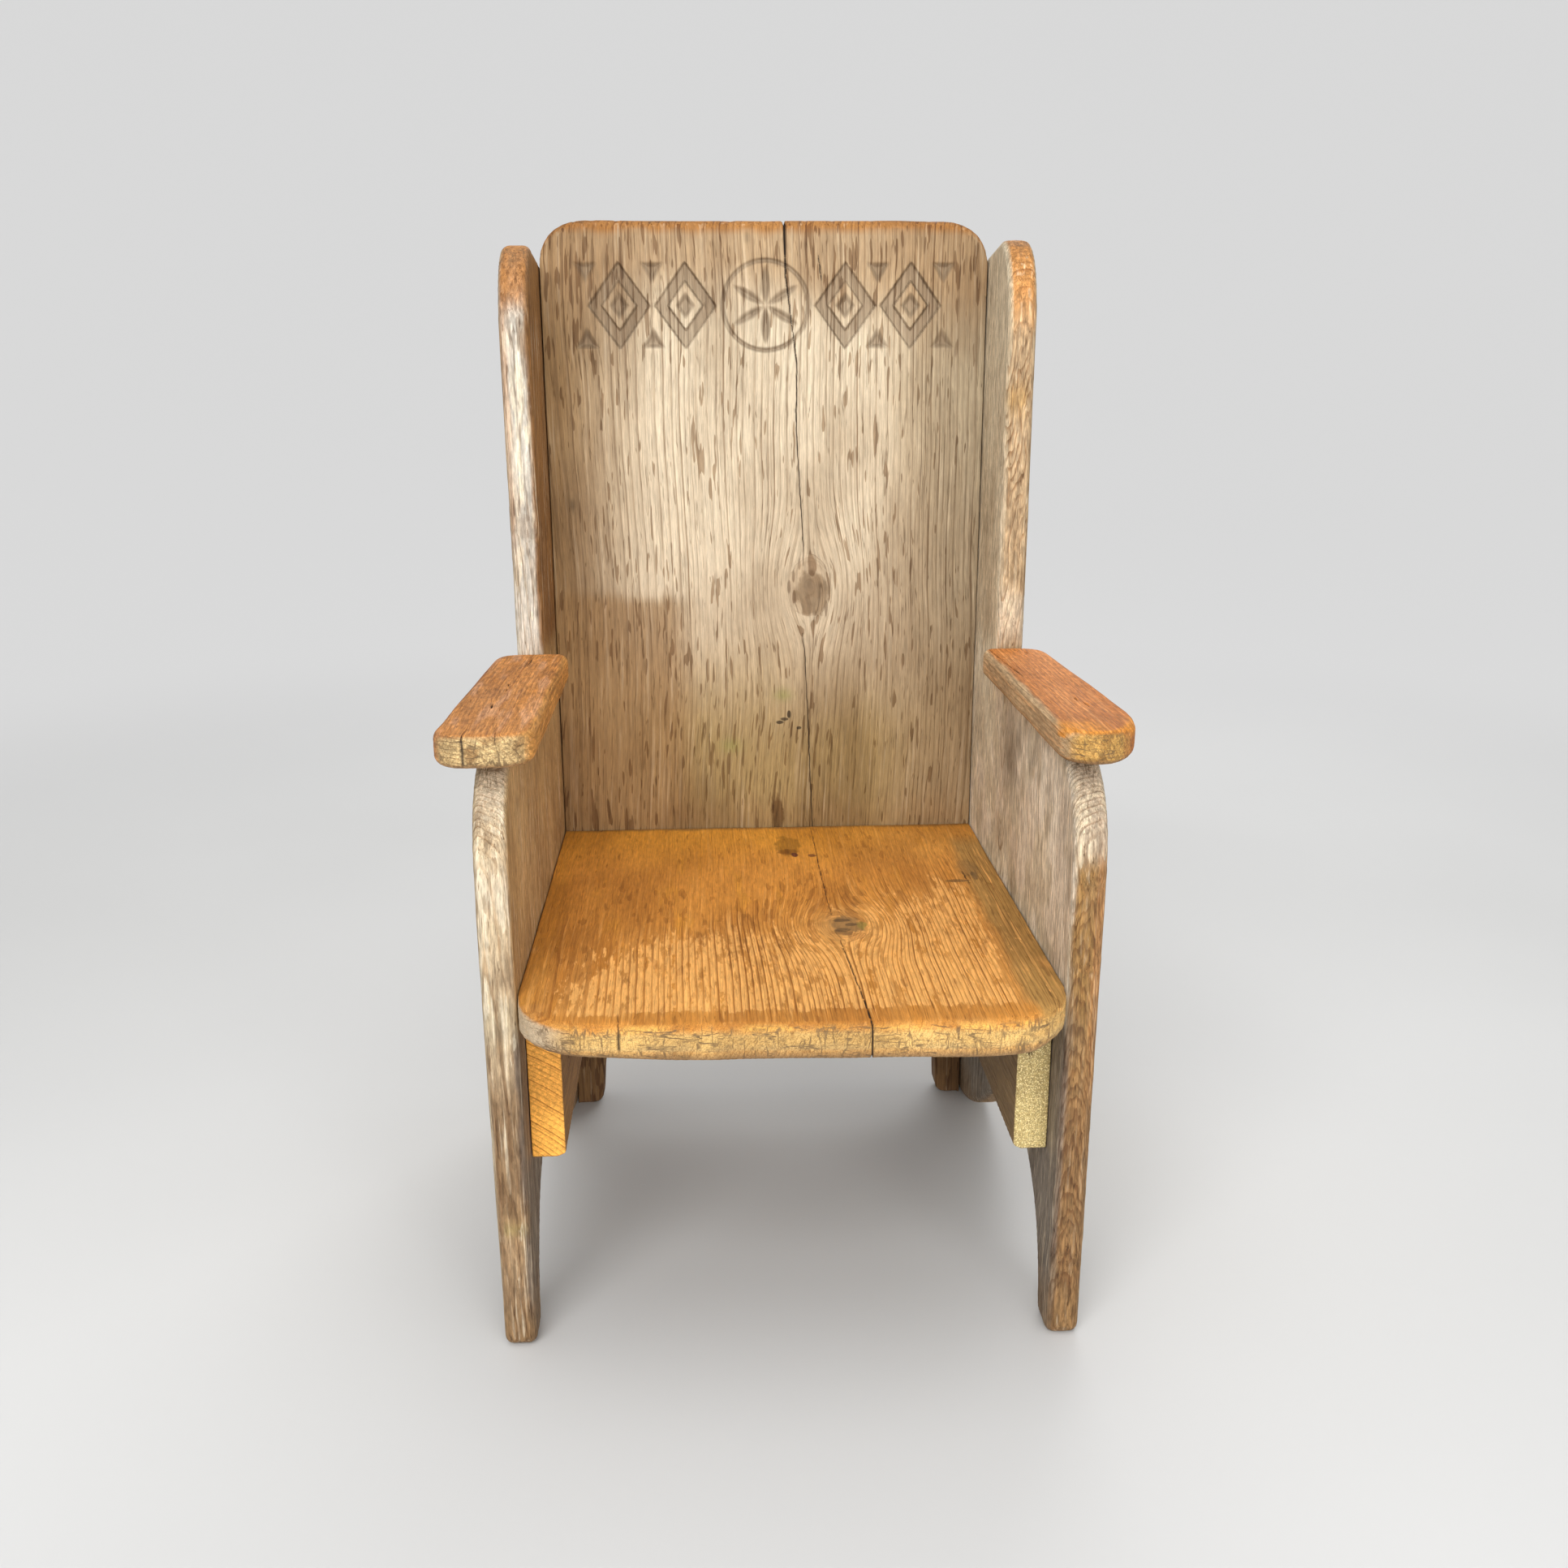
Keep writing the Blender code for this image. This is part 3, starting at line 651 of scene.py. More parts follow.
def with_spots(board, w, colour):
    """Stains, painted shade and other patches on a board's shown face, crisp or fading, and what they
    cover.
    """
    cover = np.zeros(len(w.a))
    for spot in board.spots:
        away = np.hypot((w.a - spot.across) / spot.wide, (w.b - spot.along) / spot.long)
        if spot.crisp:
            near = 1 - blend(0.85, 1.08, away + 0.2 * w.mottle + 0.3 * w.ragged)
        else:
            near = np.exp(-away * away * (1 + 0.6 * w.mottle))
        amount = near * spot.strength * (w.nt > -0.2)
        colour = mix(colour, spot.colour, amount)
        cover = np.maximum(cover, amount)
    return colour, cover


def back_tone(w):
    """Pale in the upper middle and browner towards the edges and the seat, partly the wood's own weathering
    and partly a painted pool of light on the middle; orange along the top, with painted shade below the
    seat.
    """
    # The pale middle is partly the wood's own weathering and partly a painted pool of light.
    place = w.a + 24 * w.blotch
    middle = blend(-165, -80, place) * (1 - 0.85 * blend(70, 150, place))
    high = blend(290, 470, w.b + 45 * w.blotch)
    colour = mix(plain(BACK_BROWN, w), BACK_PALE, 0.10 + 0.9 * middle * (0.38 + 0.62 * high))
    colour = mix(colour, BACK_LOW, 0.75 * middle * (1 - blend(300, 420, w.b + 30 * w.blotch)))
    colour = mix(colour, BACK_GREY, 0.65 * blend(80, 150, place) * (0.35 + 0.65 * high))
    tide = (1 - blend(424, 438, w.b + 7 * w.mottle)) * (1 - blend(-80, -48, w.a))
    colour = mix(colour, TIDE_BROWN, 0.75 * tide)
    colour = mix(colour, TIDE_BROWN, 0.5 * (1 - blend(243, 275, w.b + 8 * w.mottle)))
    colour = mix(colour, BACK_TOP, 0.8 * blend(610, 672, w.b + 26 * w.blotch + 10 * w.mottle))
    colour = mix(colour, CARVED_FLOOR, 0.75 * blend(0.2, 1.4, w.sunk))
    # Painted shade along the carved edges.
    colour = mix(colour, DIRT_AND_SHADE, 0.75 * w.sunk_edge)
    rim = np.maximum(blend(0.04, 0.3, w.edge) * blend(676, 690, w.b), blend(694, 701, w.b + 3 * w.mottle))
    colour = mix(colour, BACK_RIM, rim)
    behind = blend(0.2, 0.6, -w.nt)
    colour = mix(colour, BACK_BROWN, 0.55 * behind)
    front = 1 - behind
    # Painted shade on the front face below the seat.
    colour = mix(colour, UNDER_BACK_SHADE, 0.9 * front * (1 - blend(215, 235, w.b)))
    return colour


def side_tone(w, face, front, leg, wing, outer, streak):
    """A side board: its face, painted shade on the inner face below the seat, and the worn front edges of
    leg, side and wing.
    """
    colour = plain(face, w)
    behind = np.maximum(blend(0.2, 0.6, -w.nt), blend(0.3, 0.7, -w.na))
    colour = mix(colour, outer, 0.92 * behind)
    colour = mix(colour, TIDE_BROWN, 0.4 * behind * blend(0.0, 0.6, w.blotch + 0.3 * w.mottle))
    ahead = blend(0.25, 0.75, w.na + 0.18 * w.mottle)
    colour = mix(colour, front, ahead)
    colour = mix(colour, leg, ahead * (1 - blend(150, 240, w.b + 20 * w.blotch)))
    colour = mix(colour, wing, ahead * blend(390, 410, w.b))
    inside = blend(0.2, 0.6, w.nt)
    # Painted shade on the inner face below the seat.
    colour = mix(colour, UNDER_SEAT_SHADE, 0.85 * inside * (1 - blend(205, 235, w.b)))
    colour = mix(colour, STREAK_BROWN, 0.55 * ahead * blend(0.12, 0.5, -w.dapple))
    colour = mix(colour, streak, 0.3 * inside * blend(0.2, 0.6, -w.dapple))
    colour = mix(colour, TIDE_BROWN, 0.5 * (1 - blend(8, 45, w.b + 14 * w.mottle)))
    return colour


WING_FRONT = 82
SHELF_LOW = 384
SHELF_HIGH = 386


def inner_wing(w):
    """The inner face of a wing."""
    return blend(0.3, 0.7, w.nt) * blend(395, 415, w.b)


def wing_tip(w, low, high):
    """The handled tip of a wing, where it is rounded."""
    return blend(low, high, w.b + 14 * w.mottle) * blend(0.15, 0.5, w.edge)


def under_arm_shadow(w, low):
    """Painted shadow in a line under the arm."""
    return blend(low, 382, w.b) * (1 - blend(SHELF_LOW, SHELF_HIGH, w.b)) * (w.a > WING_FRONT)


def left_side_tone(w):
    """Brown inside, pale and nearly white on the worn front edges."""
    colour = side_tone(w, LEFT_SIDE, LEFT_FRONT, LEFT_LEG, WING_WHITE, LEFT_OUTER, STREAK_BROWN)
    ahead = blend(0.2, 0.7, w.na)
    colour = mix(colour, LEFT_INNER_WING, 0.9 * inner_wing(w))
    colour = mix(colour, TIP_ORANGE, 0.9 * wing_tip(w, 632, 662))
    outer_arris = ahead * blend(3, 7, -w.t + 3 * w.mottle) * blend(430, 520, w.b)
    colour = mix(colour, TIP_ORANGE, 0.45 * outer_arris)
    colour = mix(colour, BACK_GREY, 0.5 * ahead * between(215, 240, 8, w.b + 6 * w.mottle))
    colour = mix(colour, RAW_WHITE, 0.5 * ahead * between(300, 325, 12, w.b + 8 * w.mottle))
    shoulder = blend(0.3, 0.8, w.nb) * between(330, 383, 6, w.b) * blend(240, 262, w.a)
    colour = mix(colour, RAW_WHITE, 0.55 * shoulder)
    # Painted shadow under the arm.
    return mix(colour, DIRT_AND_SHADE, 0.6 * under_arm_shadow(w, 374))


def right_side_tone(w):
    """Grey-tan inside, browner on the front edges, with an orange outer arris."""
    colour = side_tone(w, RIGHT_SIDE, RIGHT_FRONT, RIGHT_LEG, RIGHT_WING, RIGHT_OUTER, STREAK_GREY)
    ahead = blend(0.2, 0.7, w.na)
    colour = mix(colour, TIP_ORANGE, 0.9 * wing_tip(w, 622, 658))
    colour = mix(colour, RIGHT_INNER_WING, 0.75 * inner_wing(w))
    inner = blend(0.5, 0.9, w.nt) * between(238, 392, 6, w.b)
    colour = mix(colour, STREAK_GREY, 0.35 * inner * blend(0.0, 0.5, w.cloud))
    pale = blend(-0.1, 0.4, 0.3 * blend(200, 300, w.a) - w.cloud)
    colour = mix(colour, RIGHT_PALE, 0.7 * inner * pale)
    arris = ahead * blend(2.0, 6.0, -w.t) * (w.b > 150)
    colour = mix(colour, WORN_ORANGE, 0.75 * arris * between(180, 350, 30, w.b))
    colour = mix(colour, RAW_WHITE, 0.45 * ahead * between(405, 440, 10, w.b + 8 * w.mottle))
    inner_edge = between(285, 322, 8, w.a) * blend(0.5, 0.9, w.nt) * between(300, 360, 12, w.b)
    colour = mix(colour, RAW_WHITE, 0.5 * inner_edge)
    shoulder = blend(0.2, 0.7, w.na + w.nb) * between(326, 384, 10, w.b + 6 * w.mottle) * (w.a > 230)
    colour = mix(colour, RAW_WHITE, 0.7 * shoulder)
    stain = blend(0.5, 0.9, w.nt) * between(315, 372, 16, w.b + 14 * w.mottle) * between(120, 255, 25, w.a)
    colour = mix(colour, RIGHT_STAIN, 0.6 * stain * blend(-0.3, 0.4, w.blotch + w.cloud))
    # Painted shadow under the arm.
    return mix(colour, DIRT_AND_SHADE, 0.5 * under_arm_shadow(w, 376))


def seat_tone(w):
    """Even orange-brown at the back, worn pale in stripes at the front, pale at the sawn end."""
    colour = mix(plain(SEAT_DEEP, w), SEAT_ORANGE, blend(20, 120, w.b + 30 * w.blotch))
    rear_right = blend(30, 120, w.a) * (1 - blend(60, 140, w.b))
    colour = mix(colour, SEAT_PALE, 0.3 * rear_right)
    worn = blend(150, 290, seat_wear(w)) * blend(-0.6, 0.3, w.streak)
    colour = mix(colour, SEAT_PALE, 0.55 * worn)
    colour = mix(colour, SEAT_DEEP, 0.55 * blend(0.15, 0.6, -w.dapple - 0.3 * w.blotch) * (1 - worn))
    # A grey weathered band on the right, darkened further as painted shadow from the right side.
    grey = blend(135, 145, w.a + 4 * w.mottle) * blend(20, 60, w.b)
    colour = mix(colour, SEAT_GREY_AND_SHADOW, 0.9 * grey)
    colour = mix(colour, SEAT_DEEP, 0.7 * (1 - blend(4, 22, w.b + 6 * w.mottle)))
    # Darker along the rear edge, against the back.
    colour = mix(colour, DIRT_AND_SHADE, 0.55 * (1 - blend(2, 8, w.b + 3 * w.mottle)))
    colour = mix(colour, SEAT_DEEP, 0.5 * (1 - blend(-158, -140, w.a + 5 * w.mottle)) * (w.b < 330))
    # Painted highlight along the rounded front top edge.
    arris = blend(0.08, 0.3, w.edge) * (1 - blend(0.5, 0.8, w.edge)) * (w.b > 320)
    arris = arris * (1 - grey) * blend(-150, -115, w.a)
    brow = between(346, 366, 5, w.b + 4 * w.mottle) * (w.edge < 0.2) * (1 - grey)
    colour = mix(colour, SEAT_ORANGE, 0.8 * brow)
    colour = mix(colour, SEAT_EDGE_HIGHLIGHT, 0.9 * arris * blend(-0.5, 0.3, w.mottle))
    ends = blend(0.55, 0.85, w.edge) * (w.b > 300)
    colour = mix(colour, SEAT_END, ends * (1 - 0.35 * grey))
    colour = mix(colour, SEAT_END_LOW, 0.45 * ends * blend(1, -8, w.t + 3 * w.mottle))
    corner = blend(0.4, 0.8, w.edge) * (1 - blend(-150, -125, w.a)) * (w.b > 300)
    colour = mix(colour, RAW_WHITE, 0.7 * corner)
    return mix(colour, UNDERSIDE, blend(0.2, 0.7, -w.nt))


def left_arm_tone(w):
    """Handled orange-brown, yellow along the inner edge, pale at the sawn front end."""
    colour = mix(plain(LEFT_ARM, w), LEFT_ARM_PALE, blend(-0.2, 0.8, w.blotch))
    colour = mix(colour, LEFT_ARM_INNER, 0.7 * blend(0.25, 0.7, w.na))
    colour = mix(colour, LEFT_ARM_OUTER, 0.5 * blend(0.25, 0.7, -w.na))
    top = blend(0.3, 0.8, w.nt)
    colour = mix(colour, ARM_BROWN, 0.6 * top * blend(0.05, 0.5, w.blotch + 0.6 * w.mottle))
    colour = mix(colour, ARM_PINK, 0.6 * top * blend(0.05, 0.5, w.dapple - 0.4 * w.mottle))
    colour = mix(colour, ARM_DARK, 0.5 * top * blend(0.15, 0.5, -w.dapple))
    ends = blend(0.35, 0.8, w.nb) * (w.b > 250)
    colour = mix(colour, ARM_END, ends)
    colour = mix(colour, ARM_END_DARK, 0.75 * ends * blend(0.05, 0.4, w.mottle + 0.7 * w.dapple))
    colour = mix(colour, SEAT_DEEP, 0.5 * blend(0.3, 0.8, -w.nb))
    return mix(colour, UNDERSIDE, blend(0.2, 0.7, -w.nt))


def right_arm_tone(w):
    """More orange than the left, with a grey flaky inner edge and a pale grainy end."""
    colour = mix(plain(RIGHT_ARM, w), RIGHT_ARM_PALE, blend(-0.2, 0.8, w.blotch))
    inner = blend(0.15, 0.6, -w.na + 0.25 * w.mottle)
    colour = mix(colour, RIGHT_ARM_INNER, 0.9 * inner)
    colour = mix(colour, RIGHT_ARM_OUTER, 0.5 * blend(0.25, 0.7, w.na))
    ends = blend(0.45, 0.85, w.nb) * (w.b > 250)
    colour = mix(colour, GOLD_END, ends)
    colour = mix(colour, GOLD_END_DARK, 0.75 * ends * blend(0.1, 0.5, w.mottle + 0.7 * w.dapple))
    arris = between(0.06, 0.50, 0.1, w.nb) * (w.b > 300) * (w.nt > 0)
    corner = blend(298, 318, w.b + 4 * w.mottle) * blend(0.5, 0.9, w.nt) * (1 - blend(168, 190, w.a))
    colour = mix(colour, ARM_BRIGHT, 0.85 * np.maximum(arris, corner))
    return mix(colour, UNDERSIDE, blend(0.2, 0.7, -w.nt))


def bearer_tone(w, wood):
    """A seat bearer, darkened inside and fresher at its sawn end."""
    colour = mix(plain(wood, w), BEARER_SHADE, 0.75 * (1 - blend(0.4, 0.9, w.nb)))
    return mix(colour, TIDE_BROWN, 0.3 * blend(0.0, 0.7, w.blotch) * (1 - blend(0.4, 0.9, w.nb)))


def left_bearer_tone(w):
    return bearer_tone(w, NEW_WOOD)


def right_bearer_tone(w):
    return bearer_tone(w, SAWN_WOOD)


# Rounded rims, as radii in millimetres

def side_rim(points):
    """Round all over but for the crisp rear edge."""
    return np.where(points[:, 0] < -20.6, 1.2, 6.0 + 0.8 * rim_sway(points, 31))


def back_rim(points):
    """Round along the top and the arch, crisp beside the side boards."""
    climb = np.clip((points[:, 1] - 678.0) / 27.0, 0, 1)
    arched = (np.abs(points[:, 0]) < 164.0) & (points[:, 1] < 300)
    return np.where(arched, 3.0, 1.1 + 4.9 * np.sqrt(climb) + 0.5 * climb * rim_sway(points, 32))


def seat_rim(points):
    """Round along the front and its corners, crisp at the sides and the back."""
    straight = np.where(points[:, 0] > 0, 323.0, 315.0)
    turn = np.clip((points[:, 1] - straight) / 48.0, 0, 1)
    return 1.2 + 5.3 * np.sqrt(turn) + 0.8 * turn * rim_sway(points, 33)


def arm_rim(points):
    """Round all over from handling."""
    return 5.4 + 0.9 * rim_sway(points, 34)


def bearer_rim(points):
    """Nearly square edges."""
    return 0.8 + 0.25 * rim_sway(points, 35)


def rim_sway(points, seed):
    """Slow uneven wear along a rim, from -1 to 1."""
    return noise(np.column_stack((points, np.zeros(len(points)))), (30, 40, 1), seed, 2)


def plain_drop(_points, inset, rounding, _side):
    return round_drop(inset, rounding)


BEARER_BOTTOM = 119.2
BEARER_CUT = (6.0, 3.0)


def bearer_drop(points, inset, rounding, side):
    """A bearer's inner lower corner is taken off."""
    drop = round_drop(inset, rounding)
    if side < 0:
        return drop
    deep, high = BEARER_CUT
    height = points[:, 0] - BEARER_BOTTOM
    return np.maximum(drop, deep * np.clip(1 - height / high, 0, 1))


# Shapes that age gave single boards

def flat_shape(_w):
    return 0.0


def back_bend(w):
    """The back's edges have shrunk away from the sides towards the top."""
    return -0.9 * blend(0.6, 0.95, np.abs(w.na)) * blend(380, 640, w.b)


def seat_bend(w):
    """The seat is worn hollow, and left a little thicker under its front edge."""
    hollow = np.exp(-((w.a / 105) ** 2) - ((w.b - 190) / 125) ** 2)
    thick = blend(328, 350, w.b) * blend(-150, -60, w.a) * (1 - blend(135, 155, w.a))
    return 2.4 * thick * blend(0.2, 0.8, -w.nt) - 1.1 * hollow * (w.nt > 0.5)


def even_flecks(_w):
    """Flecks lie thick and thin by chance alone."""
    return 0.5


def back_flecks(w):
    """The back has most flecks on the left and low down."""
    low = 1 - blend(280, 560, w.b)
    return 0.34 + 0.36 * (1 - blend(-150, -20, w.a)) * (0.4 + 0.6 * low) - 0.04 * low


def seat_flecks(w):
    """Brown remains of the old finish lie where the seat's wear begins."""
    inner = blend(-130, -60, w.a)
    return 0.20 + (0.05 + 0.45 * inner) * between(120, 240, 50, w.b + 30 * w.blotch)


def no_figure(w):
    """No part shows arched grain."""
    return np.zeros(len(w.a))


def right_figure(w):
    """The cut front edges of the right leg and wing run out of the grain in arches and slants."""
    below = 0.8 * (1 - blend(296, 318, w.b + 6 * w.mottle)) * blend(14, 40, w.b)
    above = between(440, 620, 25, w.b) * blend(-0.3, 0.2, w.mottle + w.dapple)
    return blend(0.3, 0.7, w.na) * np.maximum(below, above)


def back_lines(w):
    """Ring lines are faint low on the back and towards its left."""
    low = 1 - blend(380, 470, w.b + 40 * w.blotch)
    left = 1 - blend(-150, -90, w.a)
    return 1 - 0.35 * low - 0.2 * left * (1 - low)


def all_lines(w):
    """Ring lines show everywhere."""
    return np.ones(len(w.a))


def tip_lines(w):
    """No ring lines or pale streaks on the handled tip of a wing."""
    return 1 - 0.9 * blend(618, 646, w.b)


def seat_wear(w):
    """How far forward a point of the seat counts, since wear starts further back on the right."""
    return w.b + 40 * w.blotch + 0.25 * w.a + 0.3 * np.maximum(w.a, 0)


def seat_lines(w):
    """Ring lines show most where the seat is worn, and faintly under the old finish."""
    worn = blend(120, 220, seat_wear(w))
    left = 1 - blend(-120, -10, w.a)
    return (0.22 + 0.78 * worn) * (1 - 0.4 * left) * (1 - 0.6 * blend(345, 356, w.b + 4 * w.mottle))


def no_bleach(w):
    """No part is bleached as a whole."""
    return np.zeros(len(w.a))


def seat_bleach(w):
    """The front of the seat is worn pale between the ring lines, in patches at first."""
    worn = blend(150, 270, seat_wear(w))
    ends = 1 - blend(342, 352, w.b + 4 * w.mottle)
    sides = blend(-160, -110, w.a + 12 * w.mottle) * (1 - blend(128, 142, w.a + 4 * w.mottle))
    return (0.60 * worn + 0.25 * w.dapple * worn) * ends * (0.35 + 0.65 * sides) * (w.nt > 0.3)


def right_bleach(w):
    """The right side is bleached on its shoulder and in patches on the wing."""
    high = between(318, 384, 10, w.b) + 0.7 * between(404, 620, 20, w.b)
    return 0.8 * blend(0.2, 0.7, w.na + 0.5 * w.nb) * blend(-0.2, 0.4, w.dapple) * high


def side_bleach(w):
    """Front edges are bleached in streaks."""
    high = (0.35 + 0.65 * blend(120, 240, w.b)) * (1 - blend(615, 645, w.b))
    return 0.75 * blend(0.25, 0.8, w.na) * blend(-0.25, 0.45, w.dapple) * high


# The boards

def make_spec(node, slot, origin, axes, half, **choices):
    """One board's place and looks, with usual values for what isn't chosen."""
    spec = SimpleNamespace(
        node=node, slot=slot, origin=Vector(origin), half=half,
        across=Vector(axes[0]), along=Vector(axes[1]), out=Vector(axes[2]),
        front_step=(1.4, 3.4), rear_step=(2.4, 6.0), rim_step=2.0, wall_rows=6,
        drop=plain_drop, bend=flat_shape, knots=(), cracks=(), pits=[], spots=(), carved=False,
        sway=3.0, curl=0.6, lean=6.0, lean_from=300.0, ring_width=2.6, knot_ring_count=7.0,
        tighten=0.0, figure_places=no_figure, fleck_places=even_flecks, line_places=all_lines,
        bleach=no_bleach, relief=0.16, waves=0.35, nicks=0.7, gaps=0.6,
    )
    vars(spec).update(choices)
    spec.rim_extra = lambda: crack_ends(spec)
    spec.detail_points = lambda side: detail_points(spec, side)
    return spec


def wood_look(rings, late, flecks, streaks, pale, fissures, checks=0.5, grit=0.0, scuffs=0.17):
    """How strongly a board's rings, flecks, streaks, splits, end checks and scuffs show."""
    return dict(
        rings=rings, late=late, flecks=flecks, streaks=streaks, pale=pale, fissures=fissures,
        checks=checks, grit=grit, scuffs=scuffs,
    )


def crack_ends(spec):
    """Places on the outline where a crack runs out over an end of the board."""
    places = []
    for crack in spec.cracks:
        for across, along, width in crack.path:
            if width > 0.5 and along in (crack.path[0][1], crack.path[-1][1]):
                places += [(across + width * share, along) for share in (-0.9, -0.4, 0.0, 0.4, 0.9)]
    return places


def spot_points(spec, side):
    """Close points all over the crisp stains, which are on the shown face."""
    made = []
    for spot in spec.spots:
        if spot.crisp and side > 0:
            across, along = np.meshgrid(np.linspace(-1.3, 1.3, 13), np.linspace(-1.3, 1.3, 17))
            place = np.column_stack((across.ravel() * spot.wide, along.ravel() * spot.long))
            made.append(place + (spot.across, spot.along))
    return made


def detail_points(spec, side):
    """All close points for the details of one face."""
    made = crack_points(spec, side) + pit_points(spec, side) + spot_points(spec, side)
    if spec.carved and side > 0:
        made.append(carving_points())
    return np.concatenate(made) if made else np.zeros((0, 2))


RIGHTWARD = (1, 0, 0)
LEFTWARD = (-1, 0, 0)
AHEAD = (0, -1, 0)
UPWARD = (0, 0, 1)
SIDE_CHOICES = dict(rim=side_rim, front_step=(1.6, 3.6), rear_step=(1.8, 4.2), waves=0.6)
ARM_CHOICES = dict(
    rim=arm_rim, front_step=(0.9, 1.9), rear_step=(1.8, 4.0), rim_step=1.3, wall_rows=7,
    lean_from=200.0, relief=0.10, waves=0.45,
)


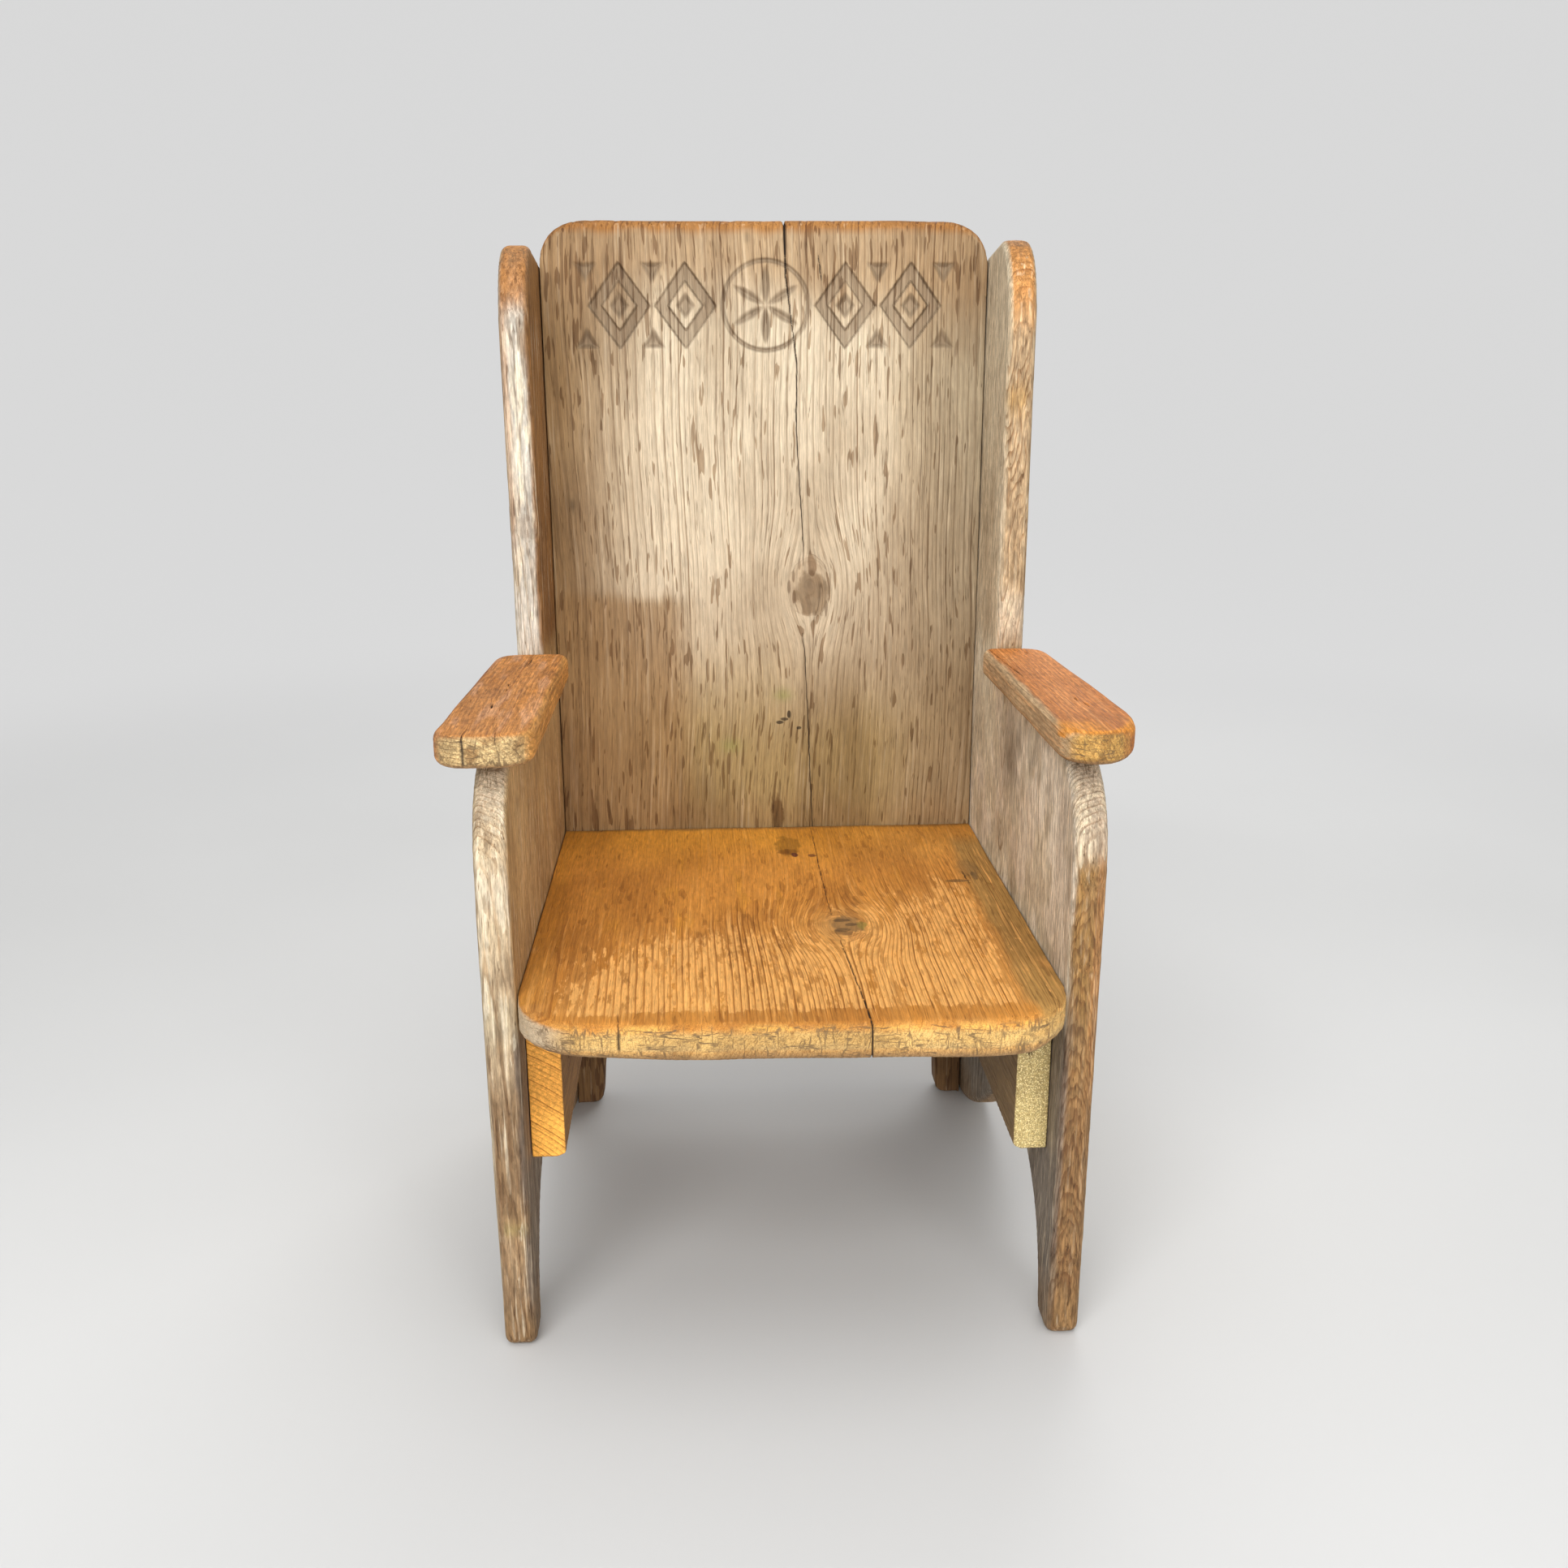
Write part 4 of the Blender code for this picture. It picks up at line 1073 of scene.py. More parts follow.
def board_specs():
    """Every board of the chair."""
    back = make_spec(
        "back_panel", "back_wood", (0, BACK_MIDDLE_Y, UPRIGHT_START_Z), (RIGHTWARD, UPWARD, AHEAD),
        BOARD_HALF, rim=back_rim, tone=back_tone, bend=back_bend, carved=True, seed=101,
        pith=(-300.0, -90.0), ring_width=8.5, lean=1.5, sway=6.0, relief=0.22, waves=0.5,
        tighten=1.2, fleck_places=back_flecks, line_places=back_lines, knot_ring_count=3.5,
        knots=(Knot(33, 438, None, 17, 25),),
        cracks=(
            Crack(1, 30, ((13.8, 705.5, 1.3), (14.9, 667, 0.75), (23.2, 604, 0.5), (22.6, 557, 0.45),
                          (28.0, 470, 0.4), (28.3, 455, 0.15))),
            Crack(1, 30, ((27.2, 402, 0.15), (29.4, 388, 0.4), (32.3, 323, 0.4), (35.8, 241, 0.35))),
            Crack(1, 6, ((39, 681, 0.2), (40, 672, 0.8), (41, 664, 0.2))),
        ),
        spots=(
            Spot(7.5, 251, 5, 19, DRIP_BROWN, 0.9, True),
            Spot(9.3, 329.8, 3.4, 1.8, STAIN_BLACK, 0.9, True),
            Spot(13, 332.4, 3.4, 1.5, STAIN_BLACK, 0.85, True),
            Spot(16.7, 336, 1.8, 3.2, STAIN_BLACK, 0.9, True),
            Spot(24.5, 325, 2.0, 1.3, STAIN_BLACK, 0.85, True),
            Spot(-30, 311, 9, 6, GREEN_SMEAR, 0.5), Spot(12, 352, 8, 4, GREEN_SMEAR, 0.55),
            Spot(-148, 502, 3, 5, STAIN_BLACK, 0.55), Spot(-13, 693, 1.6, 1.8, STAIN_BLACK, 0.8),
            Spot(32, 438, 20, 29, BACK_PALE, 0.75), Spot(35, 433, 13, 19, KNOT_GREY, 0.75, True),
            Spot(37, 437, 8, 9, KNOT_DARK, 0.3, True), Spot(31, 423, 4, 8, KNOT_DARK, 0.3, True),
            Spot(17, 438, 1.6, 6, KNOT_DARK, 0.6, True), Spot(20.5, 446, 1.2, 5, KNOT_DARK, 0.6, True),
            Spot(21, 430, 1.4, 5, KNOT_DARK, 0.6, True), Spot(25, 456, 1.0, 5, KNOT_DARK, 0.5, True),
            Spot(46, 421, 1.4, 7, KNOT_DARK, 0.65, True), Spot(49, 443, 1.0, 6, KNOT_DARK, 0.4, True),
        ),
        look=wood_look(
            1.0, (0.38, 0.29, 0.21), (0.95, 0.40, 0.042), 0.25, (0.82, 0.70, 0.51), 0.6, scuffs=0.07,
        ),
    )
    left_side = make_spec(
        "left_side_panel", "left_side_wood", (-SIDE_MIDDLE_X, BACK_FACE_Y, UPRIGHT_START_Z),
        (AHEAD, UPWARD, RIGHTWARD), BOARD_HALF, tone=left_side_tone, seed=202,
        pith=(150.0, 44.0), ring_width=2.2, lean=7.0, bleach=side_bleach, nicks=0.8,
        line_places=tip_lines, **SIDE_CHOICES,
        knots=(Knot(80, 494, 2, 7, 9),),
        cracks=(Crack(1, 12, ((79, 690, 0.9), (77, 655, 0.2))),),
        spots=(Spot(318, 92, 6, 12, TIDE_BROWN, 0.5), Spot(322, 84, 3, 5, GREEN_SMEAR, 0.3)),
        look=wood_look(
            0.8, (0.58, 0.46, 0.35), (0.60, 0.40, 0.040), 0.65, (0.72, 0.62, 0.46), 0.85, 0.8, scuffs=0.22,
        ),
    )
    right_side = make_spec(
        "right_side_panel", "right_side_wood", (SIDE_MIDDLE_X, BACK_FACE_Y, UPRIGHT_START_Z),
        (AHEAD, UPWARD, LEFTWARD), BOARD_HALF, tone=right_side_tone, seed=303,
        pith=(120.0, 40.0), ring_width=2.4, lean=12.0, curl=3.0, sway=8.0, bleach=right_bleach,
        nicks=1.0, rim_step=1.5, figure_places=right_figure, **SIDE_CHOICES,
        cracks=(Crack(1, 5, ((70, 535, 0.2), (71, 520, 0.8), (72, 505, 0.2))),),
        spots=(
            Spot(201, 323, 9, 8, BACK_BROWN, 0.35), Spot(216, 345, 3, 4, TIDE_BROWN, 0.5),
            Spot(235, 275, 3, 4, TIDE_BROWN, 0.45), Spot(82, 581, 8, 11, WING_GOLD, 0.5),
        ),
        look=wood_look(
            0.9, (0.52, 0.40, 0.30), (0.50, 0.40, 0.040), 0.65, (0.68, 0.56, 0.39), 0.85, 0.7, scuffs=0.26,
        ),
    )
    seat = make_spec(
        "seat_board", "seat_wood", (0, BACK_FACE_Y, SEAT_MIDDLE_Z), (RIGHTWARD, AHEAD, UPWARD),
        BOARD_HALF, rim=seat_rim, tone=seat_tone, bend=seat_bend, seed=404,
        front_step=(1.15, 2.7), rim_step=1.6, wall_rows=8,
        pith=(-205.0, 150.0), ring_width=3.0, lean=1.0, lean_from=200.0, waves=0.4,
        knot_ring_count=5.0, fleck_places=seat_flecks, line_places=seat_lines, bleach=seat_bleach,
        knots=(Knot(40, 215, None, 18, 26),),
        cracks=(
            Crack(1, 9, ((34, 6, 0.2), (33.6, 104, 0.35), (34, 171, 0.3), (34.5, 190, 0.12))),
            Crack(1, 30, ((36.5, 240, 0.2), (36.7, 250, 0.4), (39, 285, 0.45), (42, 339, 0.5),
                          (43, 371, 0.7))),
            Crack(1, 16, ((-103, 347, 0.2), (-102, 366, 0.5))),
            Crack(1, 5, ((139, 116, 0.2), (139, 128, 0.8), (139.5, 140, 0.2))),
        ),
        spots=(
            Spot(12, 46, 10, 25, AMBER, 0.8, True), Spot(11, 63, 8, 6, AMBER_RIM, 0.75, True),
            Spot(17, 70, 2.6, 4.4, WINE_RED, 0.9, True), Spot(30.5, 72, 3.2, 3.4, WINE_RED, 0.7, True),
            # Painted shade round the notch at the seat's right edge, with dark lines beside it.
            Spot(144, 110, 8, 17, NOTCH_SHADE, 0.5, True), Spot(131, 136, 10, 3, DIRT_AND_SHADE, 0.65, True),
            Spot(146, 127, 2.5, 9, DIRT_AND_SHADE, 0.6, True), Spot(162, 290, 4, 9, SEAT_PALE, 0.8),
            Spot(-163, 247, 3, 5, SEAT_PALE, 0.8), Spot(41, 216, 17, 24, KNOT_HALO, 0.6),
            Spot(44, 215, 11, 17, KNOT_HEART, 0.8, True), Spot(40, 206, 6, 3.0, DIRT_AND_SHADE, 0.7, True),
            Spot(47, 214, 5, 3.0, DIRT_AND_SHADE, 0.75, True), Spot(40, 223, 6, 3.0, DIRT_AND_SHADE, 0.7, True),
            Spot(53, 215, 4, 8, KNOT_GREEN, 0.7, True),
        ),
        look=wood_look(
            1.0, (0.42, 0.30, 0.17), (0.50, 0.22, 0.045), 0.78, (0.90, 0.465, 0.138), 0.4, 1.0, scuffs=0.10,
        ),
    )
    left_arm = make_spec(
        "left_armrest", "left_arm_wood", (0, BACK_FACE_Y, ARM_MIDDLE_Z), (RIGHTWARD, AHEAD, UPWARD),
        ARM_HALF, tone=left_arm_tone, seed=505, pith=(-196.0, -26.0), ring_width=2.3, lean=0.6,
        **ARM_CHOICES,
        cracks=(
            Crack(1, 6, ((-172, 98, 0.2), (-172, 108, 0.5), (-172.4, 124, 0.2))),
            Crack(1, 18, ((-186.5, 304, 0.1), (-187, 324, 0.45))),
            Crack(1, 9, ((-168.5, 312, 0.1), (-168, 324, 0.3))),
            Crack(1, 3, ((-180, 243, 0.2), (-180, 247, 1.2), (-179.5, 252, 0.2))),
            Crack(1, 3, ((-177.6, 181, 0.2), (-177.5, 185, 1.0), (-177.3, 189, 0.2))),
            Crack(1, 3, ((-177.1, 199, 0.2), (-177, 202, 0.9), (-176.8, 205, 0.2))),
        ),
        look=wood_look(
            0.85, (0.56, 0.44, 0.32), (0.25, 0.30, 0.035), 0.40, (0.66, 0.36, 0.17), 0.6, 1.0, scuffs=0.27,
        ),
    )
    right_arm = make_spec(
        "right_armrest", "right_arm_wood", (0, BACK_FACE_Y, ARM_MIDDLE_Z), (RIGHTWARD, AHEAD, UPWARD),
        ARM_HALF, tone=right_arm_tone, seed=606, pith=(112.0, -40.0), ring_width=2.5, lean=0.8,
        **ARM_CHOICES,
        cracks=(
            Crack(1, 4, ((158, 78, 0.3), (160, 130, 0.6), (163, 180, 0.2))),
            Crack(1, 3, ((183, 96, 0.2), (183, 99, 1.0), (183.2, 103, 0.2))),
            Crack(1, 3, ((184, 261, 0.2), (184, 265, 1.1), (184.2, 270, 0.2))),
            Crack(1, 3, ((181, 248, 0.2), (181, 251, 0.9), (181.2, 255, 0.2))),
        ),
        look=wood_look(
            0.85, (0.56, 0.42, 0.30), (0.25, 0.30, 0.035), 0.40, (0.74, 0.36, 0.13), 0.6, 1.0, scuffs=0.22,
        ),
    )
    boards = [back, left_side, right_side, seat, left_arm, right_arm]
    planed = wood_look(1.0, (0.40, 0.27, 0.13), (0.3, 0.40, 0.040), 0.15, (0.90, 0.50, 0.14), 0.3, 0.0)
    sawn = wood_look(0.2, (0.66, 0.52, 0.36), (0.4, 0.40, 0.040), 0.15, (0.70, 0.52, 0.28), 0.4, 0.0, 0.9)
    for hand, outward, tone, seed, pith, look in (
        ("left", -1, left_bearer_tone, 707, (-20.0, -120.0), planed),
        ("right", 1, right_bearer_tone, 808, (140.0, 60.0), sawn),
    ):
        boards.append(make_spec(
            hand + "_seat_bearer", hand + "_bearer_wood",
            (outward * BEARER_MIDDLE_X, BACK_FACE_Y, UPRIGHT_START_Z),
            (UPWARD, AHEAD, (-outward, 0, 0)), BEARER_HALF, rim=bearer_rim, drop=bearer_drop,
            tone=tone, seed=seed, front_step=(1.3, 3.2), rear_step=(2.6, 6.5), rim_step=1.5,
            wall_rows=10, pith=pith, ring_width=3.4, lean=2.0, lean_from=150.0,
            relief=0.10, waves=0.25, nicks=0.35, gaps=0.15,
            look=look,
        ))
    boards[-1].pits.append(Pit(187.0, 302.0, 2.4, 1.9, 1.6))
    return boards


# Nails

def nail_places():
    """Each nail's head: its node, the middle of the head's face, and the way that it faces."""
    places = []
    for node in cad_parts:
        if "_nail_" not in node:
            continue
        low, high = (Vector(corner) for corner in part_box(node))
        middle = (low + high) / 2
        outward = -1 if node.startswith("left") else 1
        if node.startswith("back_seat"):
            facing = Vector((0, 1, 0))
        elif "_arm_" in node:
            facing = Vector((0, 0, 1))
        elif "_bearer_" in node:
            facing = Vector((-outward, 0, 0))
        else:
            facing = Vector((outward, 0, 0))
        reach = max((high - low) / 2)
        places.append((node, middle + facing * reach, facing))
    return places


NAIL_PIT_RADIUS = 3.7
NAIL_PIT_DEPTH = 0.75


def add_nail_pits(boards, places):
    """Sinks a small pit in the face that each nail's head lies in; those in the arms are hidden."""
    holders = {
        "left_back": "left_side_panel", "left_seat": "left_side_panel",
        "right_back": "right_side_panel", "right_seat": "right_side_panel",
        "left_bearer": "left_seat_bearer", "right_bearer": "right_seat_bearer",
        "back_seat": "back_panel",
    }
    by_node = {board.node: board for board in boards}
    for node, head, facing in places:
        kind = node.split("_nail_")[0]
        if kind not in holders:
            continue
        board = by_node[holders[kind]]
        away = (head - board.origin) * 1000
        side = 1 if facing.dot(board.out) > 0 else -1
        place = (away.dot(board.across), away.dot(board.along), side * board.half)
        board.pits.append(Pit(*place, NAIL_PIT_RADIUS, NAIL_PIT_DEPTH))


NAIL_RINGS = ((0.0, 0.10), (0.9, 0.08), (1.8, -0.02), (2.5, -0.18), (2.9, -0.45), (2.95, -0.95),
              (2.5, -1.2), (1.35, -1.2), (1.35, -6.0), (0.0, -6.5))
NAIL_SIDES = 18


def make_nail(node, head, facing, material, number):
    """A hammered nail head with the start of its shank."""
    axis = facing.normalized()
    beside = axis.orthogonal().normalized()
    third = axis.cross(beside)
    turn = Matrix((beside, third, axis)).transposed()
    shape = bmesh.new()
    rings = []
    for radius, height in NAIL_RINGS:
        count = NAIL_SIDES if radius else 1
        ring = []
        for index in range(count):
            angle = 2 * math.pi * index / count
            wobble = 1 + 0.05 * math.sin(3 * angle + number) + 0.03 * math.sin(7 * angle + 2.1 * number)
            dent = -0.10 * max(0.0, math.cos(angle - 1.7 * number)) * (radius / 3.0) * (height > -0.6)
            reach = radius * wobble
            spot = Vector((reach * math.cos(angle), reach * math.sin(angle), height + dent))
            ring.append(shape.verts.new(head + turn @ spot / 1000))
        rings.append(ring)
    for inner, outer in zip(rings, rings[1:]):
        for index in range(NAIL_SIDES):
            following = (index + 1) % NAIL_SIDES
            if len(inner) == 1:
                shape.faces.new((inner[0], outer[index], outer[following]))
            elif len(outer) == 1:
                shape.faces.new((inner[index], outer[0], inner[following]))
            else:
                shape.faces.new((inner[index], outer[index], outer[following], inner[following]))
    bmesh.ops.recalc_face_normals(shape, faces=shape.faces)
    mesh = bpy.data.meshes.new(node + "_worn")
    shape.to_mesh(mesh)
    shape.free()
    mesh.shade_smooth()
    mesh.materials.append(material)
    nail = bpy.data.objects.new(node + "_worn", mesh)
    bpy.context.scene.collection.objects.link(nail)
    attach(nail, "root")
    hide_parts(node)


# Materials

class Graph:
    """A material's nodes, with short ways to add the ones used here."""

    def __init__(self, name):
        self.material = bpy.data.materials.new(name)
        self.material.use_nodes = True
        self.tree = self.material.node_tree
        self.tree.nodes.clear()

    def add(self, kind, inputs, **settings):
        """A node with its settings, and its inputs fed by sockets or values."""
        node = self.tree.nodes.new(kind)
        for name, value in settings.items():
            setattr(node, name, value)
        for key, value in inputs.items():
            if isinstance(value, bpy.types.NodeSocket):
                self.tree.links.new(value, node.inputs[key])
            else:
                node.inputs[key].default_value = value
        return node

    def attribute(self, name):
        return self.add("ShaderNodeAttribute", {}, attribute_name=name)

    def math(self, operation, first, second=0.0):
        return self.add("ShaderNodeMath", {0: first, 1: second}, operation=operation).outputs[0]

    def times(self, first, second):
        return self.math("MULTIPLY", first, second)

    def plus(self, first, second):
        return self.math("ADD", first, second)

    def minus(self, first, second):
        return self.math("SUBTRACT", first, second)

    def most(self, first, second):
        return self.math("MAXIMUM", first, second)

    def absolute(self, value):
        return self.math("ABSOLUTE", value)

    def fraction(self, value):
        return self.math("FRACT", value)

    def step(self, value, low, high, start=0.0, end=1.0):
        """A smooth step of a value, from start at low to end at high."""
        inputs = {"Value": value, "From Min": low, "From Max": high, "To Min": start, "To Max": end}
        return self.add("ShaderNodeMapRange", inputs, interpolation_type="SMOOTHSTEP").outputs[0]

    def noise(self, where, scale, detail=2.0, rough=0.5, shift=0.0):
        """Noise from 0 to 1; scale is features for each millimetre on each axis."""
        placed = self.add(
            "ShaderNodeMapping", {"Vector": where, "Scale": scale, "Location": (shift, shift, shift)},
        )
        inputs = {"Vector": placed.outputs[0], "Scale": 1.0, "Detail": detail, "Roughness": rough}
        return self.add("ShaderNodeTexNoise", inputs).outputs["Fac"]

    def mix(self, amount, first, second, blend_type="MIX"):
        inputs = {0: amount, 6: first, 7: second}
        settings = dict(data_type="RGBA", blend_type=blend_type)
        return self.add("ShaderNodeMix", inputs, **settings).outputs[2]

    def tint(self, colour, amount, share, other, blend_type="MULTIPLY"):
        """A colour mixed with another one by a share of an amount."""
        return self.mix(self.times(amount, share), colour, opaque(other), blend_type)

    def finish(self, colour, roughness, height, bump, distance, specular=0.3, metallic=None):
        """Joins colour, roughness and bump to the surface."""
        bumped = self.add("ShaderNodeBump", {"Height": height, "Strength": bump, "Distance": distance})
        inputs = {
            "Base Color": colour, "Roughness": roughness, "Normal": bumped.outputs[0],
            "Specular IOR Level": specular,
        }
        if metallic is not None:
            inputs["Metallic"] = metallic
        shader = self.add("ShaderNodeBsdfPrincipled", inputs)
        self.add("ShaderNodeOutputMaterial", {"Surface": shader.outputs[0]})
        return self.material


def opaque(colour):
    return (*colour, 1.0)


def end_crack(g, grain, scale, shift, width):
    """Broken dark lines along the slow direction of a stretched noise."""
    drift = g.noise(grain, scale, 3.0, 0.5, shift)
    cut = g.step(g.absolute(g.minus(drift, 0.5)), width, width * 0.3)
    gaps = g.noise(grain, GAP_SCALE, 2.0, 0.5, shift + 9.0)
    return g.times(cut, g.step(gaps, 0.46, 0.56))


# Noise of the wood, in features for each millimetre across, along and out
HAIR_SCALE = (0.80, 0.025, 0.80)
THREAD_SCALE = (0.36, 0.012, 0.36)
CHIP_SCALE = (0.24, 0.055, 0.24)
FIBRE_SCALE = (2.6, 0.055, 2.6)
PORE_SCALE = (1.1, 1.1, 1.1)
SCUFF_SCALE = (0.50, 0.10, 0.50)
GAP_SCALE = (0.10, 0.02, 0.10)
DRIFT_SCALE = (0.05, 0.016, 0.08)

# Cracks in end grain: noise scale, shift and width, and the share of each lesser kind
MAIN_END_CRACK = ((0.03, 0.02, 0.20), 131.0, 0.034)
LESSER_END_CRACKS = (
    (((0.14, 0.02, 0.035), 151.0, 0.030), 0.9),
    (((0.09, 0.02, 0.45), 171.0, 0.034), 0.6),
    (((0.40, 0.02, 0.10), 191.0, 0.034), 0.6),
)

# What shades or covers the wood's own tone
PATCH_SHADE = (0.76, 0.72, 0.68)
FLECK_SHADE = (0.54, 0.46, 0.39)
RUBBED_LIGHT = (1.28, 1.24, 1.16)
PORE_SHADE = (0.50, 0.40, 0.31)
CRUMB_YELLOW = (0.95, 0.80, 0.42)
CHECK_DARK = (0.14, 0.085, 0.04)
FISSURE_SHADE = (0.34, 0.27, 0.21)
KNOT_SHADE = (0.62, 0.52, 0.42)
CRACK_DARK = (0.030, 0.019, 0.012)
FINE_SHARE = 0.6
FIGURE_STEP = 15.0
ARCH_RISE = 0.42
SLANT_RISE = 3.6


def run_out_lines(g, grain):
    """Nested pointed arches low down and slanting lines higher up, where an edge cuts the grain."""
    place = g.add("ShaderNodeSeparateXYZ", {0: grain}).outputs
    aside = g.absolute(g.minus(place[2], 1.5))
    arch = g.times(g.math("POWER", aside, 2.0), ARCH_RISE)
    slant = g.times(place[2], SLANT_RISE)
    arch = g.times(arch, g.step(place[1], 410.0, 390.0))
    slant = g.times(slant, g.step(place[1], 390.0, 410.0))
    drift = g.times(g.noise(grain, DRIFT_SCALE, 3.0, 0.55, 17.0), 85.0)
    climb = g.plus(g.plus(place[1], drift), g.plus(arch, slant))
    phase = g.fraction(g.math("DIVIDE", climb, FIGURE_STEP))
    return g.times(g.step(phase, 0.40, 0.88), g.step(phase, 1.0, 0.94))


def wood_material(name, rings, late, flecks, streaks, pale, fissures, checks, grit, scuffs):
    """Weathered pine that follows a board's own grain, rings, tone and marks."""
    g = Graph(name)
    grain = g.attribute("grain").outputs["Vector"]
    ring = g.attribute("ring").outputs["Fac"]
    paint = g.attribute("tone")
    tone = paint.outputs["Color"]
    marks = g.attribute("marks")
    parts = g.add("ShaderNodeSeparateColor", {0: marks.outputs["Color"]})
    crack, end, knot = parts.outputs[0], parts.outputs[1], parts.outputs[2]
    worn = marks.outputs["Alpha"]
    veil = g.attribute("veil")
    veils = g.add("ShaderNodeSeparateColor", {0: veil.outputs["Color"]})
    patch, clump, lines = veils.outputs[0], veils.outputs[1], veils.outputs[2]
    bleach = veil.outputs["Alpha"]

    hairy = g.noise(grain, HAIR_SCALE, 2.0)
    ragged = g.times(g.minus(hairy, 0.5), g.step(end, 0.0, 1.0, 0.28, 0.08))
    wavy = g.plus(ring, ragged)
    phase = g.fraction(wavy)
    soft = g.times(g.step(phase, 0.35, 0.88), 0.40)
    crisp = g.times(g.step(phase, 0.74, 0.86), 0.60)
    dark = g.times(g.plus(soft, crisp), g.step(phase, 1.0, 0.95))
    number = g.math("FLOOR", wavy)
    chance = g.add("ShaderNodeTexWhiteNoise", {"W": number}, noise_dimensions="1D").outputs["Value"]
    dark = g.times(dark, g.step(chance, 0.0, 1.0, 0.45, 1.0))
    half_way = g.fraction(g.plus(wavy, 0.52))
    faint = g.times(g.step(half_way, 0.80, 0.90), g.step(half_way, 1.0, 0.95))
    faint = g.times(faint, g.step(chance, 0.55, 0.85, 0.0, 0.45))
    dark = g.times(g.most(dark, faint), lines)
    figure = g.times(run_out_lines(g, grain), paint.outputs["Alpha"])
    dark = g.most(dark, figure)

    strength, across, along = flecks
    speck = g.noise(grain, (across, along, across), 1.0, 0.4, 21.3)
    over = g.minus(speck, g.step(clump, 0.0, 1.0, 0.71, 0.55))
    fleck = g.step(over, 0.0, 0.035)
    thread = g.noise(grain, THREAD_SCALE, 2.0, 0.6, 40.0)
    chips = g.noise(grain, CHIP_SCALE, 3.0, 0.6, 93.0)
    flake = g.plus(bleach, g.times(g.minus(chips, 0.5), 1.5))
    flake = g.times(g.step(flake, 0.38, 0.56), g.step(bleach, 0.0, 0.1))
    streak = g.most(g.times(g.step(thread, 0.52, 0.70), lines), flake)
    streak = g.times(streak, g.step(phase, 0.85, 0.60, 0.25, 1.0))
    streak = g.times(streak, g.step(end, 0.2, 0.8, 1.0, 0.1))
    split = g.absolute(g.minus(thread, 0.47))
    fissure = g.times(g.step(split, 0.020, 0.004), g.step(hairy, 0.44, 0.60))
    fibre = g.noise(grain, FIBRE_SCALE, 2.0, 0.6, 55.0)
    pore = g.noise(grain, PORE_SCALE, 1.5, 0.6, 71.0)

    line = end_crack(g, grain, *MAIN_END_CRACK)
    for kind, share in LESSER_END_CRACKS:
        line = g.most(line, g.times(end_crack(g, grain, *kind), share))
    check = g.times(g.times(line, end), checks)

    colour = g.mix(g.step(patch, 0.2, 0.8), tone, opaque(PATCH_SHADE), "MULTIPLY")
    colour = g.tint(colour, streak, streaks, pale, "MIX")
    colour = g.tint(colour, dark, rings, late)
    colour = g.tint(colour, fleck, strength, FLECK_SHADE)
    scuff = g.noise(grain, SCUFF_SCALE, 4.0, 0.65, 33.0)
    shade = g.step(scuff, 0.34, 0.66, 1 - scuffs, 1 + scuffs)
    lint = FINE_SHARE * scuffs
    shade = g.times(shade, g.step(hairy, 0.32, 0.68, 1 - lint, 1 + lint))
    shade = g.times(shade, g.step(fibre, 0.25, 0.75, 0.80, 1.18))
    shades = g.add("ShaderNodeCombineColor", {0: shade, 1: shade, 2: shade}).outputs[0]
    colour = g.mix(1.0, colour, shades, "MULTIPLY")
    rubbed = g.times(worn, g.step(patch, 0.3, 0.7, 0.8, 0.2))
    colour = g.tint(colour, rubbed, 0.45, RUBBED_LIGHT)
    grains = g.times(end, g.step(pore, 0.50, 0.62))
    colour = g.tint(colour, grains, 0.15 + 0.35 * checks, PORE_SHADE)
    crumbs = g.times(end, g.step(pore, 0.46, 0.38))
    colour = g.tint(colour, crumbs, grit, CRUMB_YELLOW, "MIX")
    colour = g.tint(colour, check, 0.85, CHECK_DARK, "MIX")
    colour = g.tint(colour, fissure, fissures, FISSURE_SHADE)
    colour = g.tint(colour, knot, 0.25, KNOT_SHADE)
    colour = g.mix(crack, colour, opaque(CRACK_DARK))

    roughness = g.plus(g.step(dark, 0.0, 1.0, 0.74, 0.62), g.step(fibre, 0.2, 0.8, -0.06, 0.08))
    height = g.plus(g.times(dark, 0.45), g.times(fibre, 0.6))
    height = g.minus(height, g.times(fleck, 0.5))
    height = g.minus(height, g.times(g.most(check, fissure), 1.2))
    return g.finish(colour, roughness, height, 0.6, 0.0004)


IRON_DARK = (0.045, 0.040, 0.038)
RUST_BROWN = (0.115, 0.042, 0.016)
RUST_ORANGE = (0.21, 0.085, 0.028)


def rust_material():
    """Dark iron, mostly turned to rust."""
    g = Graph("rusty_iron")
    where = g.add("ShaderNodeTexCoord", {}).outputs["Object"]
    coarse = g.noise(where, (420, 420, 420), 4.0, 0.65)
    fine = g.noise(where, (1900, 1900, 1900), 3.0, 0.6, 4.0)
    rust = g.step(coarse, 0.38, 0.60)
    colour = g.mix(rust, opaque(IRON_DARK), opaque(RUST_BROWN))
    colour = g.mix(g.step(fine, 0.55, 0.75), colour, opaque(RUST_ORANGE))
    metallic = g.step(rust, 0.0, 0.7, 0.75, 0.05)
    roughness = g.step(rust, 0.0, 1.0, 0.46, 0.86)
    return g.finish(colour, roughness, g.plus(coarse, fine), 0.6, 0.0003, 0.4, metallic)


# Dressing

# Each noise that the tones use: its name, size in millimetres, own seed and octaves
FIELD_NOISES = (
    ("blotch", (75, 150, 75), 1, 2), ("mottle", (13, 30, 13), 2, 2), ("streak", (7, 260, 7), 3, 2),
    ("dapple", (7, 42, 7), 9, 3), ("cloud", (24, 30, 24), 10, 3), ("ragged", (3.5, 5.5, 3.5), 15, 2),
)


